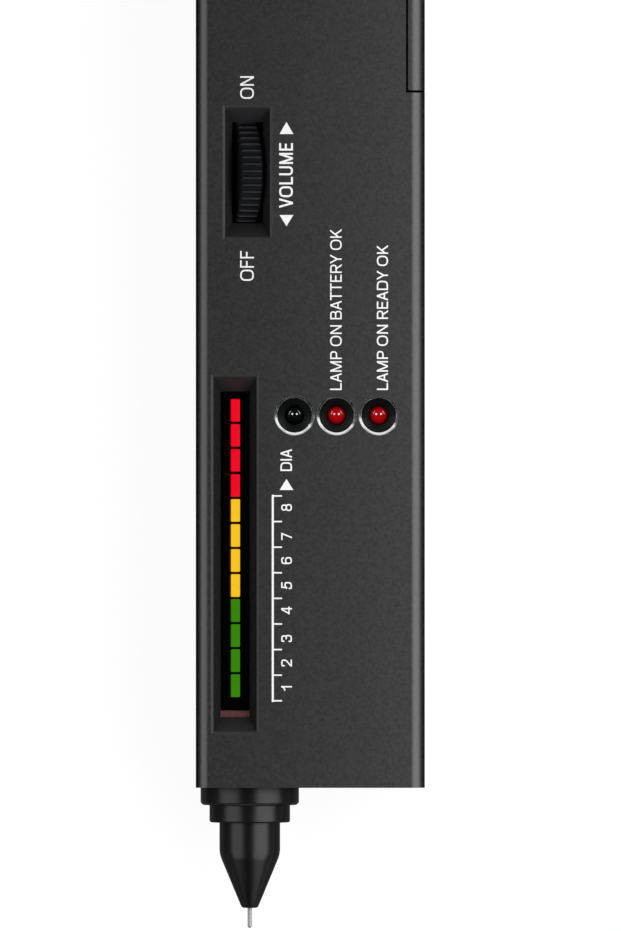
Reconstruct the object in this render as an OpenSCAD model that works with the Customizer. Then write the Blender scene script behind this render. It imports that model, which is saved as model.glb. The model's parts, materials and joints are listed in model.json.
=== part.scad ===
// Bar-shaped hand tester with a sprung needle probe, a column of light bars,
// three lamps, a thumb wheel and a battery bay closed by a sliding cover.
// It lies on its back with the face up. Units are millimetres.
// X runs across the face, Y towards the battery end and Z up out of the face.
// The origin is on the surface it lies on, under the middle of its outline.

/* [Casing] */
// wall thickness of the shells and of the cover
wall = 2; // [1.8:0.1:2.2]
// radius of the four long edges
edge_r = 2; // [1.2:0.1:2.1]
// clearance between parts that are fitted together
fit_gap = 0.1; // [0.06:0.02:0.16]
// width and depth of the groove along the parting line
seam = 0.25; // [0.1:0.05:0.4]
// thickness of the lip that lines up the two shells
lip_w = 0.9; // [0.6:0.1:1.1]
// height of that lip
lip_h = 1; // [0.6:0.1:1.4]

/* [Pockets] */
// depth of the two pockets in the face
pocket_depth = 2.8; // [2.4:0.1:3.1]
// width of the sloping long sides of a pocket
long_slope = 1.1; // [0.7:0.1:1.3]
// length of the sloping ends of a pocket
end_slope = 2.18; // [1.4:0.02:2.6]
// width of the bevel around the mouth of a pocket
rim_w = 0.25; // [0.1:0.05:0.4]
// depth of the bevel around the mouth of a pocket
rim_h = 0.2; // [0.1:0.05:0.3]
// thickness of the moulding under a pocket
tub_wall = 1; // [0.8:0.1:1.2]

/* [Level display] */
// distance of the row of bars from the left side
level_in = 5.66; // [5.6:0.02:7]
// distance of the slot from the front end
level_l = 10.13; // [10:0.01:11]
// number of bars of each colour
bars_each = 4; // [3:1:4]
// width of a bar
bar_w = 1.37; // [1:0.01:1.8]
// length of a bar
bar_l = 3.22; // [2.6:0.01:3.3]
// distance from bar to bar
bar_step = 3.61; // [3.5:0.01:3.7]
// dark length of slot in front of the bars
bar_lead = 2.72; // [2.6:0.02:3.4]
// dark length of slot behind the bars
bar_tail = 0.95; // [0.6:0.05:1.2]
// width of the mask on either side of the bars
mask_edge = 1.3; // [1:0.05:1.5]
// height of the mask in the slot
mask_h = 0.8; // [0.5:0.05:0.9]
// length of bare plate seen in front of the mask
plate_show = 0.97; // [0.5:0.01:1.2]
// thickness of the carrier plate
plate_t = 1.2; // [0.8:0.1:1.6]
// width of the carrier plate
plate_w = 6.8; // [6:0.1:7.2]
// height of the bars above the mask
bar_proud = 0.1; // [0.05:0.01:0.15]

/* [Lamps] */
// distance of the row of lamps from the front end
lamp_l = 53.65; // [52:0.05:55]
// distance of the first lamp from the left side
lamp_in = 14.23; // [13.8:0.01:15]
// distance from lamp to lamp
lamp_step = 6.06; // [5.8:0.02:6.2]
// diameter of a lamp lens
lamp_d = 2.7; // [2.4:0.05:3]
// depth of the lens top below the face
lamp_sink = 0.45; // [0.3:0.05:0.6]
// length of a lamp from its foot to its top
lamp_h = 5.8; // [5.2:0.1:6]
// thickness of the foot of a lamp
lamp_foot = 0.9; // [0.6:0.1:1.2]
// width of the foot beyond the lens
lamp_flange = 0.35; // [0.2:0.05:0.5]
// outer diameter of a bezel
bezel_d = 5.7; // [5.2:0.02:5.72]
// width of the bezel's bevel
bezel_bevel = 0.38; // [0.2:0.02:0.5]
// depth of the bezel's dish
bezel_dish = 1.2; // [0.9:0.1:1.4]
// length of bezel below the face wall
bezel_tail = 0.6; // [0.4:0.1:0.8]
// thickness of a lamp leg
leg_t = 0.5; // [0.4:0.05:0.6]
// distance between the two legs of a lamp
leg_step = 1.6; // [1.4:0.1:1.8]

/* [Volume wheel] */
// distance of the wheel from the left side
wheel_in = 7.46; // [7.2:0.02:7.8]
// distance of the wheel's axis from the front end
wheel_l = 88.6; // [87:0.1:92]
// radius over the ribs
wheel_r = 9.2; // [8.8:0.1:9.6]
// width of the wheel
wheel_w = 3.3; // [2.8:0.1:3.6]
// height of the wheel above the face
wheel_proud = 0.4; // [0.2:0.05:0.6]
// number of ribs
rib_count = 56; // [40:1:64]
// height of a rib
rib_h = 0.4; // [0.25:0.05:0.5]
// bevel on both sides of the rim
rim_bevel = 0.35; // [0.2:0.05:0.5]
// depth of the hollow in each side of the wheel
web_in = 0.5; // [0.3:0.1:0.8]
// radius of the hub
hub_r = 3; // [2.6:0.1:3.4]
// length of hub beyond the side of the wheel
hub_l = 0.5; // [0.3:0.1:0.6]
// lean of the wheel to the right, in degrees
wheel_lean = 15; // [0:1:16]
// clearance around the wheel in its slot
wheel_gap = 0.3; // [0.25:0.05:0.4]
// clearance beside the wheel in its slot
wheel_free = 0.55; // [0.4:0.05:0.7]
// radius of the spindle
shaft_r = 1.5; // [1.3:0.05:1.7]
// depth of the flat on the spindle
shaft_flat = 0.5; // [0.3:0.05:0.6]
// running clearance around the spindle
shaft_gap = 0.05; // [0.03:0.01:0.08]
// length of spindle inside the control
shaft_in = 4; // [3:0.1:5]

/* [Volume control] */
// radius of the control's can
pot_r = 4.6; // [4:0.1:4.8]
// length of the can
pot_l = 6.5; // [6:0.1:7.5]
// thickness of its front plate
pot_plate = 1.2; // [0.8:0.1:1.4]
// clearance between the hub and the plate
pot_gap = 0.3; // [0.2:0.05:0.4]
// length of tag on the board
tag_lap = 2.5; // [2:0.1:3]
// width of a tag
tag_w = 0.9; // [0.6:0.05:1]
// thickness of a tag
tag_t = 0.4; // [0.3:0.05:0.5]
// number of tags
tag_count = 4; // [3:1:4]
// thickness of a cradle rib under the can
cradle_t = 1.2; // [1:0.1:1.5]
// width of a cradle rib
cradle_w = 6.4; // [5.5:0.1:7]

/* [Battery] */
// width of the battery
cell_w = 26.5; // [26:0.1:27.5]
// thickness of the battery
cell_t = 17.5; // [17.3:0.1:18]
// length of the battery without its studs
cell_l = 46.4; // [45:0.1:48]
// radius of its long edges
cell_r = 2; // [1:0.1:3]
// free width beside the battery
cell_slack = 0.17; // [0.1:0.01:0.4]
// free height above the battery
cell_head = 0.5; // [0.3:0.05:0.8]
// free length behind the battery
cell_end = 0.4; // [0.2:0.1:0.8]
// distance between the studs
stud_step = 12.7; // [12.4:0.1:13]
// radius of the small stud
stud_small = 2.85; // [2.6:0.05:3]
// radius of the large stud
stud_large = 4; // [3.9:0.05:4.2]
// height of the studs
stud_h = 2.5; // [2.2:0.1:2.8]
// wall of the large stud
stud_wall = 1; // [0.8:0.1:1.1]

/* [Battery connector] */
// distance of the connector's ends from the sides of the battery
snap_in = 1; // [0.6:0.1:1.6]
// depth of the connector
snap_d = 12.4; // [11.6:0.1:13]
// thickness of the connector
snap_t = 5.3; // [4.8:0.1:6]
// length left in front of the connector for its leads
lead_room = 2.8; // [2.4:0.1:4]
// radius of a lead
lead_r = 0.65; // [0.5:0.05:0.7]
// distance of the first lead from the right side
lead_in = 10; // [9.6:0.1:10.4]
// distance from lead to lead
lead_step = 2; // [1.6:0.1:2.2]
// length of lead on the board
lead_lap = 3.5; // [2.5:0.1:4]

/* [Battery cover] */
// width of the cover on the face
cover_lap = 2.43; // [2.2:0.01:2.8]
// clearance between the cover and the shells
slide_gap = 0.3; // [0.25:0.05:0.4]
// width of a rail on the shells
rail_w = 0.7; // [0.6:0.05:0.9]
// height of a rail on the shells
rail_h = 0.9; // [0.7:0.05:1.1]
// width of the hook behind a rail
hook_w = 0.6; // [0.5:0.05:0.8]
// thickness of the lip that carries the hook
hook_t = 0.8; // [0.7:0.05:1]
// number of grip grooves in the side of the cover
grip_count = 6; // [4:1:8]
// distance from groove to groove
grip_step = 1.8; // [1.6:0.1:2.2]
// width of a groove
grip_w = 0.8; // [0.5:0.1:1]
// depth of a groove
grip_depth = 0.4; // [0.2:0.05:0.6]
// distance of the first groove from the front of the cover
grip_in = 6; // [4:0.5:10]
// length of a groove across the side
grip_h = 12; // [9:0.5:14]

/* [Bay wall] */
// thickness of the wall in front of the battery bay
bay_wall = 1.5; // [1.2:0.1:1.8]
// clearance between that wall and the wheel
bay_gap = 0.5; // [0.3:0.1:0.8]
// height of the notch for the leads
notch_h = 3; // [2.4:0.1:4]

/* [Screws] */
// radius of a casing screw
screw_r = 1.25; // [1.1:0.05:1.4]
// radius of its head
head_r = 2.3; // [2:0.05:2.4]
// height of its head
head_h = 1.6; // [1.2:0.1:1.7]
// depth of the head below the back
head_sink = 0.5; // [0.3:0.1:0.6]
// length of the screw below its head
screw_l = 14; // [12:0.5:15]
// wall of the post around a screw head
post_wall = 0.8; // [0.6:0.05:1]
// distance of the screws from the nearer side
screw_in = 4.1; // [3.9:0.1:4.4]
// distance of the front screw from the front end
screw_front = 6; // [5:0.1:7]
// distance of the rear screw in front of the bay wall
screw_rear = 4.4; // [4:0.1:6]
// width of the cross slot in a head
cross_w = 0.6; // [0.4:0.05:0.7]
// length of the cross slot
cross_l = 2.6; // [2:0.1:3]

/* [Circuit board] */
// depth of the board's top below the face
board_drop = 9.7; // [9.5:0.1:10]
// thickness of the board
board_t = 1.6; // [1.2:0.1:1.8]
// distance of the board from the front end
board_l = 12.5; // [12.2:0.1:12.7]
// clearance between the board and the walls
board_gap = 0.3; // [0.2:0.1:0.5]
// radius of the board posts
post_r = 2.2; // [1.8:0.1:2.5]
// radius of a board screw
pin_r = 0.85; // [0.7:0.05:1]
// radius of its head
pin_head_r = 1.9; // [1.6:0.1:2]
// height of its head
pin_head_h = 1.2; // [0.9:0.1:1.4]
// length of a board screw below its head
pin_l = 6; // [5:0.5:7]
// distance of the board posts from the right side
post_in = 7; // [6.6:0.1:7.4]
// distance between the two rows of posts
post_row = 12.5; // [12:0.1:13]
// distance of the posts from the ends of the board
post_end = 4.5; // [4:0.1:5]

/* [Board parts] */
// distance between the legs of a chip across its body
chip_span = 7.62; // [7:0.02:8]
// width of a chip body
chip_w = 6.4; // [6:0.1:6.8]
// height of a chip body
chip_h = 3.3; // [3:0.1:3.6]
// height of a chip body above the board
chip_lift = 0.5; // [0.3:0.1:0.7]
// distance from leg to leg along a chip
chip_step = 2.54; // [2.4:0.02:2.6]
// thickness of a chip leg
chip_leg = 0.5; // [0.4:0.05:0.6]
// radius of a capacitor
cap_r = 2.5; // [2:0.1:2.8]
// height of a capacitor
cap_h = 6.4; // [6:0.1:6.8]
// radius of a resistor
res_r = 1; // [0.8:0.05:1.1]
// length of a resistor body
res_l = 6.3; // [5.5:0.1:6.8]
// length of a resistor over its legs
res_span = 10; // [9:0.1:10.6]
// radius of a resistor leg
res_leg = 0.3; // [0.25:0.05:0.35]
// side of the trimmer
trim_w = 6.4; // [6:0.1:6.8]
// height of the trimmer
trim_h = 4.4; // [4:0.1:5]
// radius of the trimmer's screw
trim_r = 1.6; // [1.2:0.1:1.8]
// width and depth of the slot in that screw
trim_slot = 0.6; // [0.4:0.1:0.8]
// radius of the buzzer
buzz_r = 5.9; // [5.5:0.1:6]
// height of the buzzer
buzz_h = 6.2; // [5.6:0.1:6.6]
// radius of the sound hole in the buzzer
buzz_hole = 1; // [0.8:0.1:1.4]

/* [Probe] */
// distance of the probe's axis from the left side
probe_in = 7.75; // [7.7:0.05:8.4]
// radius of the collar
collar_r = 7.12; // [6.8:0.02:7.4]
// length of the collar in front of the casing
collar_l = 2.46; // [2:0.02:3]
// bevel on the front edge of the collar
collar_bevel = 0.45; // [0.2:0.05:0.6]
// radius of the collar's neck in the front wall
neck_r = 4.7; // [4.5:0.05:4.9]
// radius of the flange behind the front wall
flange_r = 5.5; // [5.3:0.05:5.55]
// thickness of that flange
flange_t = 1.5; // [1.2:0.1:1.8]
// radius of the collar's tail
tail_r = 3.3; // [3:0.05:3.6]
// length of the collar behind the front end
tail_l = 8; // [7.5:0.1:8.4]
// radius of the lock ring
ring_r = 5.83; // [5.5:0.01:6.2]
// length of the lock ring
ring_l = 2.6; // [2:0.1:3]
// radius of the lock ring's front edge
ring_edge = 0.43; // [0.2:0.01:0.6]
// radius of the straight part of the nose
nose_r = 4.39; // [4.2:0.01:4.6]
// length of the straight part of the nose
nose_l = 4.78; // [4:0.02:5.5]
// length of the taper of the nose
taper_l = 7.45; // [7:0.05:8.5]
// radius at the end of the taper
tip_r = 1.15; // [1.05:0.05:1.4]
// radius of the edge at the end of the taper
tip_edge = 0.4; // [0.2:0.05:0.5]
// radius of the shoulder between them
shoulder_r = 5.8; // [4:0.1:7]
// radius of the nose's spigot in the collar
spigot_r = 3.5; // [3.3:0.05:3.7]
// clearance behind the spigot
spigot_gap = 0.3; // [0.2:0.1:0.5]
// radius of the bore for the holder
bore_r = 2.18; // [2.16:0.01:2.2]
// depth of the holder's seat inside the taper
seat_in = 1.8; // [1.2:0.1:2.4]

/* [Needle] */
// radius of the needle
needle_r = 0.33; // [0.28:0.01:0.36]
// length of needle in front of the nose
needle_out = 3.17; // [2.6:0.01:3.8]
// running clearance around the needle
needle_gap = 0.08; // [0.06:0.01:0.1]
// length of needle inside its holder
needle_in = 3; // [2.5:0.1:3.5]
// radius of the holder
holder_r = 2.1; // [2.08:0.01:2.12]
// length of the holder
holder_l = 7.5; // [7:0.1:8]
// radius of the spring guide on the holder
guide_r = 1.2; // [1.15:0.01:1.25]
// length of the spring guide
guide_l = 2; // [1.5:0.1:2.5]
// radius of the heater
heater_r = 0.8; // [0.7:0.02:0.84]
// length of the heater
heater_l = 2; // [1.5:0.1:2.6]
// clearance between needle, heater and holder
seat_gap = 0.03; // [0.02:0.01:0.04]

/* [Needle spring] */
// radius of the spring to the middle of its wire
spring_r = 1.65; // [1.6:0.01:1.7]
// radius of the spring wire
wire_r = 0.2; // [0.15:0.01:0.22]
// number of turns
turns = 8; // [6:1:9]
// distance of the spring's seat behind the front end
plug_l = 5; // [4.6:0.1:5.4]
// clearance of the plug in the tail of the collar
plug_gap = 0.06; // [0.04:0.01:0.08]
// thickness of the plug's flange
plug_flange = 0.8; // [0.6:0.1:1]
// radius of the hole through the plug
plug_hole = 0.9; // [0.85:0.01:1]
// radius of a sensor lead
sense_r = 0.35; // [0.25:0.01:0.36]
// distance between the two sensor leads
sense_step = 0.84; // [0.76:0.02:0.88]
// length of sensor lead on the board
sense_lap = 2.5; // [2:0.1:3]

/* [Hidden] */
$fn = 64;
// overlap that joins features of one piece
eps = 0.2;
far = 400;
// overall sizes of the casing, worked out around the battery
body_w = wall + cell_w + cell_slack + hook_w + rail_w + 2 * slide_gap + cover_lap;
body_t = 2 * wall + cell_t + cell_head;
bay_l = wheel_l + wheel_r + wheel_gap + bay_gap + bay_wall;
cell_front = bay_l + lead_room + snap_t;
body_l = cell_front + cell_l + cell_end + wall;
probe_out = collar_l + ring_l + nose_l + taper_l + needle_out;
front_y = (probe_out - body_l) / 2;
split_z = body_t / 2;
in_x = body_w / 2 - wall;
top_z = body_t - wall;
// middle of the battery across the casing and in height
cell_x = cell_w / 2 - in_x;
cell_z = wall + cell_t / 2;
// cover and rails
edge_x = body_w / 2 - cover_lap - slide_gap;
hook_x = edge_x - rail_w - slide_gap - hook_w;
lip_top = top_z - rail_h - slide_gap;
// pockets
floor_z = body_t - pocket_depth;
tub_z = floor_z - tub_wall;
bar_count = 3 * bars_each;
level_x = level_in - body_w / 2;
mask_w = bar_w + 2 * mask_edge;
level_w = mask_w + 2 * fit_gap;
level_len = bar_lead + bar_count * bar_step + bar_tail;
level_mid = level_l + level_len / 2;
bar_first = level_l + bar_lead + (bar_step - bar_l) / 2;
mask_z = tub_z + mask_h;
// wheel
wheel_x = wheel_in - body_w / 2;
wheel_z = body_t + wheel_proud - wheel_r * cos(wheel_lean) - wheel_w / 2 * sin(wheel_lean);
wheel_at = wheel_x - (floor_z - wheel_z) * tan(wheel_lean);
wheel_slot = wheel_w + 2 * wheel_free;
cut_r = wheel_r + wheel_gap;
wheel_len = 2 * sqrt(pow(cut_r, 2) - pow(floor_z - wheel_z, 2));
pot_start = wheel_w / 2 + hub_l + pot_gap;
pot_x = wheel_at + pot_start * cos(wheel_lean);
// board
board_z = body_t - board_drop;
board_end = wheel_l - cut_r - board_gap;
post_x = body_w / 2 - post_in;
post_rows = [board_l + post_end, board_end - post_end];
// lamps
lamp_x = lamp_in - body_w / 2;
lamp_top = body_t - lamp_sink;
lamp_z = lamp_top - lamp_h;
bezel_fit = fit_gap / 2;
bezel_low = top_z - bezel_tail;
// casing screws, each as distance across and distance from the front end
screw_x = body_w / 2 - screw_in;
screws = [
    [screw_x, screw_front],
    [-screw_x, (level_l + level_len + wheel_l - wheel_r) / 2],
    [screw_x, bay_l - bay_wall - screw_rear],
];
post_out = head_r + 2 * fit_gap + post_wall;
seat_z = head_sink + head_h;
boss_r = screw_r + fit_gap + post_wall;
// parts under the board, each as distance right of the middle and behind the front of the board
buzz_at = [7, 14.5];
driver_at = [7.5, 33];
driver_legs = 9;
caps_at = [[-4.5, 11.5], [-10.5, 11.5]];
trim_at = [-5, 19.5];
res_at = [[-11, 29.5], [-8, 29.5], [-5, 29.5], [-2, 29.5]];
amp_at = [-5.5, 41.5];
amp_legs = 4;
// probe
probe_x = probe_in - body_w / 2;
probe_z = body_t / 2;
nose_start = collar_l + ring_l;
taper_at = nose_start + nose_l;
nose_end = taper_at + taper_l;
seat_at = taper_at + seat_in;
holder_back = seat_at - holder_l;
taper_a = atan((nose_r - tip_r) / taper_l);
shoulder_at = taper_at - shoulder_r * tan(taper_a / 2);
plug_r = bore_r - plug_gap;
// needle spring between the holder and the plug
spring_from = -holder_back + wire_r;
spring_to = plug_l - wire_r;
spring_rings = 8;
coil_gap = (spring_to - spring_from) / turns - 2 * wire_r;
echo(spring_coil_gap = coil_gap);
tube_sides = 8;
wire_sides = 6;
curve_steps = 4;
arc_steps = 8;

// position along Y of a point at a distance behind the casing's front end
function at(l) = front_y + l;

// points on an arc in the plane of a profile, from one angle to another
function arc(c, r, a0, a1) = [
    for (i = [0:arc_steps])
        let (a = a0 + (a1 - a0) * i / arc_steps)
        c + r * [cos(a), sin(a)]
];

function unit(v) = v / norm(v);

// direction of a path at one of its points
function along(p, i) = unit(p[min(i + 1, len(p) - 1)] - p[max(i - 1, 0)]);

// point on a smooth curve through four points, between the second and the third
function blend(a, b, c, d, t) =
    0.5 * (2 * b + (c - a) * t + (2 * a - 5 * b + 4 * c - d) * t * t + (3 * b - a - 3 * c + d) * t * t * t);

// smooth path through a list of points
function smooth(p) = concat(
    [
        for (i = [0:len(p) - 2])
            for (k = [0:curve_steps - 1])
                blend(p[max(i - 1, 0)], p[i], p[i + 1], p[min(i + 2, len(p) - 1)], k / curve_steps)
    ],
    [p[len(p) - 1]]
);

// round tube along a path, with its rings turned to keep clear of one direction
module tube(path, r, sides, keep) {
    n = len(path);
    points = [
        for (i = [0:n - 1])
            let (t = along(path, i), u = unit(cross(keep, t)), v = cross(t, u))
            for (k = [0:sides - 1])
                path[i] + r * (cos(360 * k / sides) * u + sin(360 * k / sides) * v)
    ];
    first = [for (k = [0:sides - 1]) k];
    last = [for (k = [0:sides - 1]) n * sides - 1 - k];
    around = [
        for (i = [0:n - 2])
            for (k = [0:sides - 1])
                let (a = i * sides, b = a + sides, m = (k + 1) % sides)
                each [[a + k, b + k, b + m], [a + k, b + m, a + m]]
    ];
    polyhedron(points, concat([first, last], around), convexity = 10);
}

// box given by its lowest and highest corner
module block(low, high) {
    translate(low) cube(high - low);
}

// flat outline of X and Z, drawn out along Y between two distances from the front end
module run(l0, l1) {
    translate([0, at(l1), 0])
        rotate([90, 0, 0])
            linear_extrude(l1 - l0) children();
}

// round piece on the probe's axis, from a profile of radius and distance from the front end
module on_probe() {
    translate([probe_x, front_y, probe_z])
        rotate([-90, 0, 0])
            rotate_extrude() children();
}

// moves a piece drawn about Z onto the leaning axis of the wheel, with the wheel's middle at zero
module on_wheel() {
    translate([wheel_at, at(wheel_l), wheel_z])
        rotate([0, 90 + wheel_lean, 0]) children();
}

// straight way for the wheel through the face
module wheel_cut() {
    translate([wheel_x - wheel_slot / 2, at(wheel_l), wheel_z])
        rotate([0, 90, 0]) cylinder(r = cut_r, h = wheel_slot);
}

// rectangle with round corners, in the first quarter
module rounded(w, h, r) {
    translate([r, 0]) square([w - 2 * r, h]);
    translate([0, r]) square([r, h - 2 * r]);
    translate([w - r, r]) square([r, h - 2 * r]);
    for (x = [0, 1], y = [0, 1])
        translate([x * w, y * h])
            mirror([x, 0])
                mirror([0, y])
                    intersection() {
                        translate([r, r]) circle(r);
                        square(r);
                    }
}

// half of the length profile of a round bar with a domed end
module domed(r, h) {
    square([r, h - r]);
    translate([0, h - r])
        intersection() {
            circle(r);
            square(r);
        }
}

// four-sided taper whose top is at a given height, drawn on by a short way above it
module taper(mid, top, low, depth) {
    more = top + (top - low) * eps / depth;
    w = [low[0], more[0]] / 2;
    l = [low[1], more[1]] / 2;
    z = [-depth, eps];
    translate(mid)
        polyhedron(
            [
                for (i = [0, 1])
                    for (c = [[-1, -1], [1, -1], [1, 1], [-1, 1]])
                        [c[0] * w[i], c[1] * l[i], z[i]]
            ],
            [[0, 1, 2, 3], [4, 5, 1, 0], [7, 6, 5, 4], [5, 6, 2, 1], [6, 7, 3, 2], [7, 4, 0, 3]]
        );
}

// sloping pocket in the face over a slot, with a fine bevel around its mouth
module pocket(x, l, slot) {
    slope = [long_slope, end_slope];
    mouth = slot + 2 * slope;
    low = mouth - 2 * slope * rim_h / pocket_depth;
    taper([x, at(l), body_t], mouth, slot, pocket_depth);
    taper([x, at(l), body_t], mouth + 2 * [rim_w, rim_w], low, rim_h);
}

// moulding on the inside of the face that holds a pocket
module tub(x, l, slot) {
    half = slot / 2 + [long_slope, end_slope] + [tub_wall, tub_wall];
    block([x - half[0], at(l) - half[1], tub_z], [x + half[0], at(l) + half[1], top_z + eps]);
}

// whole outside of the casing
module outside() {
    run(0, body_l)
        translate([-body_w / 2, 0]) rounded(body_w, body_t, edge_r);
}

// whole inside of the casing
module inside() {
    block([-in_x, at(wall), wall], [in_x, at(body_l - wall), top_z]);
}

// opening that the cover closes, and the way of its hooks through the end wall
module cover_way() {
    block([edge_x, at(bay_l), -eps], [far, far, body_t + eps]);
    block([hook_x - slide_gap, at(body_l - wall) - eps, wall], [far, far, top_z]);
}

// wall in front of the battery bay, with its notch for the leads
module bay_wall_solid() {
    difference() {
        block(
            [-in_x - eps, at(bay_l - bay_wall), wall - eps],
            [in_x + eps, at(bay_l), top_z + eps]
        );
        block(
            [lead_x(1) - 2 * lead_r, at(bay_l - bay_wall) - eps, split_z - notch_h / 2],
            [lead_x(0) + 2 * lead_r, at(bay_l) + eps, split_z + notch_h / 2]
        );
    }
}

// position across the casing of a lead
function lead_x(i) = body_w / 2 - lead_in - i * lead_step;

// space below or above the parting line
module half_space(up) {
    block([-far, -far, up ? split_z : -far], [far, far, up ? far : split_z]);
}

// round hole in the front wall for the neck of the collar
module neck_hole() {
    on_probe() translate([0, -eps]) square([neck_r + fit_gap, wall + 2 * eps]);
}

// lip on the inner edge of the side walls at the parting line
module lips(gap) {
    for (side = [-1, 1]) {
        end = side < 0 ? body_l - wall : bay_l - bay_wall;
        low = side < 0 ? -in_x - lip_w - gap : in_x - gap;
        block(
            [low, at(wall) - gap, split_z - eps],
            [low + lip_w + 2 * gap, at(end) + gap, split_z + lip_h + gap]
        );
    }
}

module front_shell() {
    color("#2d2d2f")
        difference() {
            union() {
                difference() {
                    outside();
                    inside();
                    cover_way();
                }
                tub(level_x, level_mid, [level_w, level_len]);
                tub(wheel_x, wheel_l, [wheel_slot, wheel_len]);
                bay_wall_solid();
                block([edge_x - rail_w, at(bay_l) - eps, top_z - rail_h], [edge_x, at(body_l), top_z + eps]);
                for (s = screws)
                    translate([s[0], at(s[1]), split_z]) cylinder(r = boss_r, h = top_z + eps - split_z);
            }
            half_space(false);
            pocket(level_x, level_mid, [level_w, level_len]);
            translate([level_x - level_w / 2, at(level_l), tub_z - eps])
                cube([level_w, level_len, tub_wall + 2 * eps]);
            pocket(wheel_x, wheel_l, [wheel_slot, wheel_len]);
            wheel_cut();
            for (i = [0:2])
                translate([lamp_x + i * lamp_step, at(lamp_l), top_z - eps])
                    cylinder(d = bezel_d + 2 * bezel_fit, h = wall + 2 * eps);
            for (s = screws)
                translate([s[0], at(s[1]), split_z - eps])
                    cylinder(r = screw_r + fit_gap, h = seat_z + screw_l + 2 * fit_gap - split_z + eps);
            neck_hole();
            lips(fit_gap);
            for (side = [-1, 1])
                block(
                    [side * body_w / 2 - seam, at(0) - eps, split_z - eps],
                    [side * body_w / 2 + seam, at(body_l) + eps, split_z + seam]
                );
            for (end = [0, body_l])
                block([-far, at(end) - seam, split_z - eps], [far, at(end) + seam, split_z + seam]);
        }
}

module rear_shell() {
    color("#29292b")
        difference() {
            union() {
                difference() {
                    union() {
                        difference() {
                            outside();
                            inside();
                            cover_way();
                        }
                        bay_wall_solid();
                        block(
                            [edge_x - rail_w, at(bay_l) - eps, wall - eps],
                            [edge_x, at(body_l), wall + rail_h]
                        );
                        for (s = screws)
                            translate([s[0], at(s[1]), wall - eps])
                                cylinder(r = post_out, h = split_z - wall + eps);
                        for (l = post_rows, i = [0, 1])
                            translate([post_x - i * post_row, at(l), wall - eps])
                                cylinder(r = post_r, h = board_z - board_t - wall + eps);
                        for (x = [pot_x + 2 * pot_plate, pot_x + pot_l - cradle_t])
                            block(
                                [x, at(wheel_l) - cradle_w / 2, wall - eps],
                                [x + cradle_t, at(wheel_l) + cradle_w / 2, wheel_z - pot_r / 2]
                            );
                    }
                    half_space(true);
                }
                intersection() {
                    lips(0);
                    outside();
                }
            }
            for (s = screws) {
                translate([s[0], at(s[1]), -eps]) cylinder(r = head_r + 2 * fit_gap, h = seat_z + eps);
                translate([s[0], at(s[1]), 0]) cylinder(r = screw_r + 2 * fit_gap, h = split_z + eps);
            }
            for (l = post_rows)
                translate([post_x, at(l), board_z - board_t - pin_l])
                    cylinder(r = pin_r + bezel_fit, h = pin_l + eps);
            on_wheel() translate([0, 0, pot_start]) cylinder(r = pot_r + bezel_fit, h = pot_plate + pot_l);
            on_wheel() translate([0, 0, -wheel_slot / 2]) cylinder(r = cut_r, h = wheel_slot);
            neck_hole();
        }
}

module case_screws() {
    color("#8d8f92")
        for (s = screws)
            translate([s[0], at(s[1]), head_sink])
                difference() {
                    union() {
                        cylinder(r = head_r, h = head_h);
                        cylinder(r = screw_r, h = head_h + screw_l);
                    }
                    for (a = [0, 90])
                        rotate(a)
                            translate([-cross_l / 2, -cross_w / 2, -eps])
                                cube([cross_l, cross_w, head_h / 2 + eps]);
                }
}

module battery_cover() {
    color("#2b2b2d")
        difference() {
            union() {
                difference() {
                    outside();
                    inside();
                    block([-far, -far, -far], [edge_x + slide_gap, far, far]);
                    block([-far, -far, -far], [far, at(bay_l + slide_gap), far]);
                }
                for (up = [0, 1])
                    translate([0, 0, up * body_t])
                        mirror([0, 0, up]) {
                            block(
                                [hook_x, at(bay_l + slide_gap), body_t - lip_top],
                                [in_x + eps, at(body_l), body_t - lip_top + hook_t]
                            );
                            block(
                                [hook_x, at(bay_l + slide_gap), wall + slide_gap],
                                [hook_x + hook_w, at(body_l), body_t - lip_top + hook_t]
                            );
                        }
                block(
                    [hook_x, at(body_l - wall), body_t - lip_top],
                    [in_x + eps, at(body_l), lip_top]
                );
            }
            for (i = [0:grip_count - 1])
                block(
                    [body_w / 2 - grip_depth, at(bay_l + grip_in + i * grip_step), split_z - grip_h / 2],
                    [far, at(bay_l + grip_in + i * grip_step + grip_w), split_z + grip_h / 2]
                );
        }
}

// position of a bar's front end
function bar_at(i) = bar_first + i * bar_step;

// bars between two numbers, with a gap around them, between two heights
module bars(from, to, gap, low, high) {
    for (i = [from:to])
        block(
            [level_x - bar_w / 2 - gap, at(bar_at(i)) - gap, low],
            [level_x + bar_w / 2 + gap, at(bar_at(i) + bar_l) + gap, high]
        );
}

module level_frame() {
    color("#0b0b0c")
        difference() {
            block(
                [level_x - mask_w / 2, at(level_l + plate_show), tub_z],
                [level_x + mask_w / 2, at(level_l + level_len - fit_gap), mask_z]
            );
            bars(0, bar_count - 1, fit_gap / 2, tub_z - eps, mask_z + eps);
        }
}

module bar_plate() {
    color("#6b3f33")
        difference() {
            block(
                [level_x - plate_w / 2, at(level_l) - tub_wall, tub_z - plate_t],
                [level_x + plate_w / 2, at(level_l + level_len) + tub_wall, tub_z]
            );
            bars(0, bar_count - 1, fit_gap / 2, tub_z - plate_t - eps, tub_z + eps);
        }
}

module green_bars() {
    color("#307804") bars(0, bars_each - 1, 0, board_z, mask_z + bar_proud);
}

module amber_bars() {
    color("#f4c115") bars(bars_each, 2 * bars_each - 1, 0, board_z, mask_z + bar_proud);
}

module red_bars() {
    color("#f80227") bars(2 * bars_each, bar_count - 1, 0, board_z, mask_z + bar_proud);
}

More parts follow.
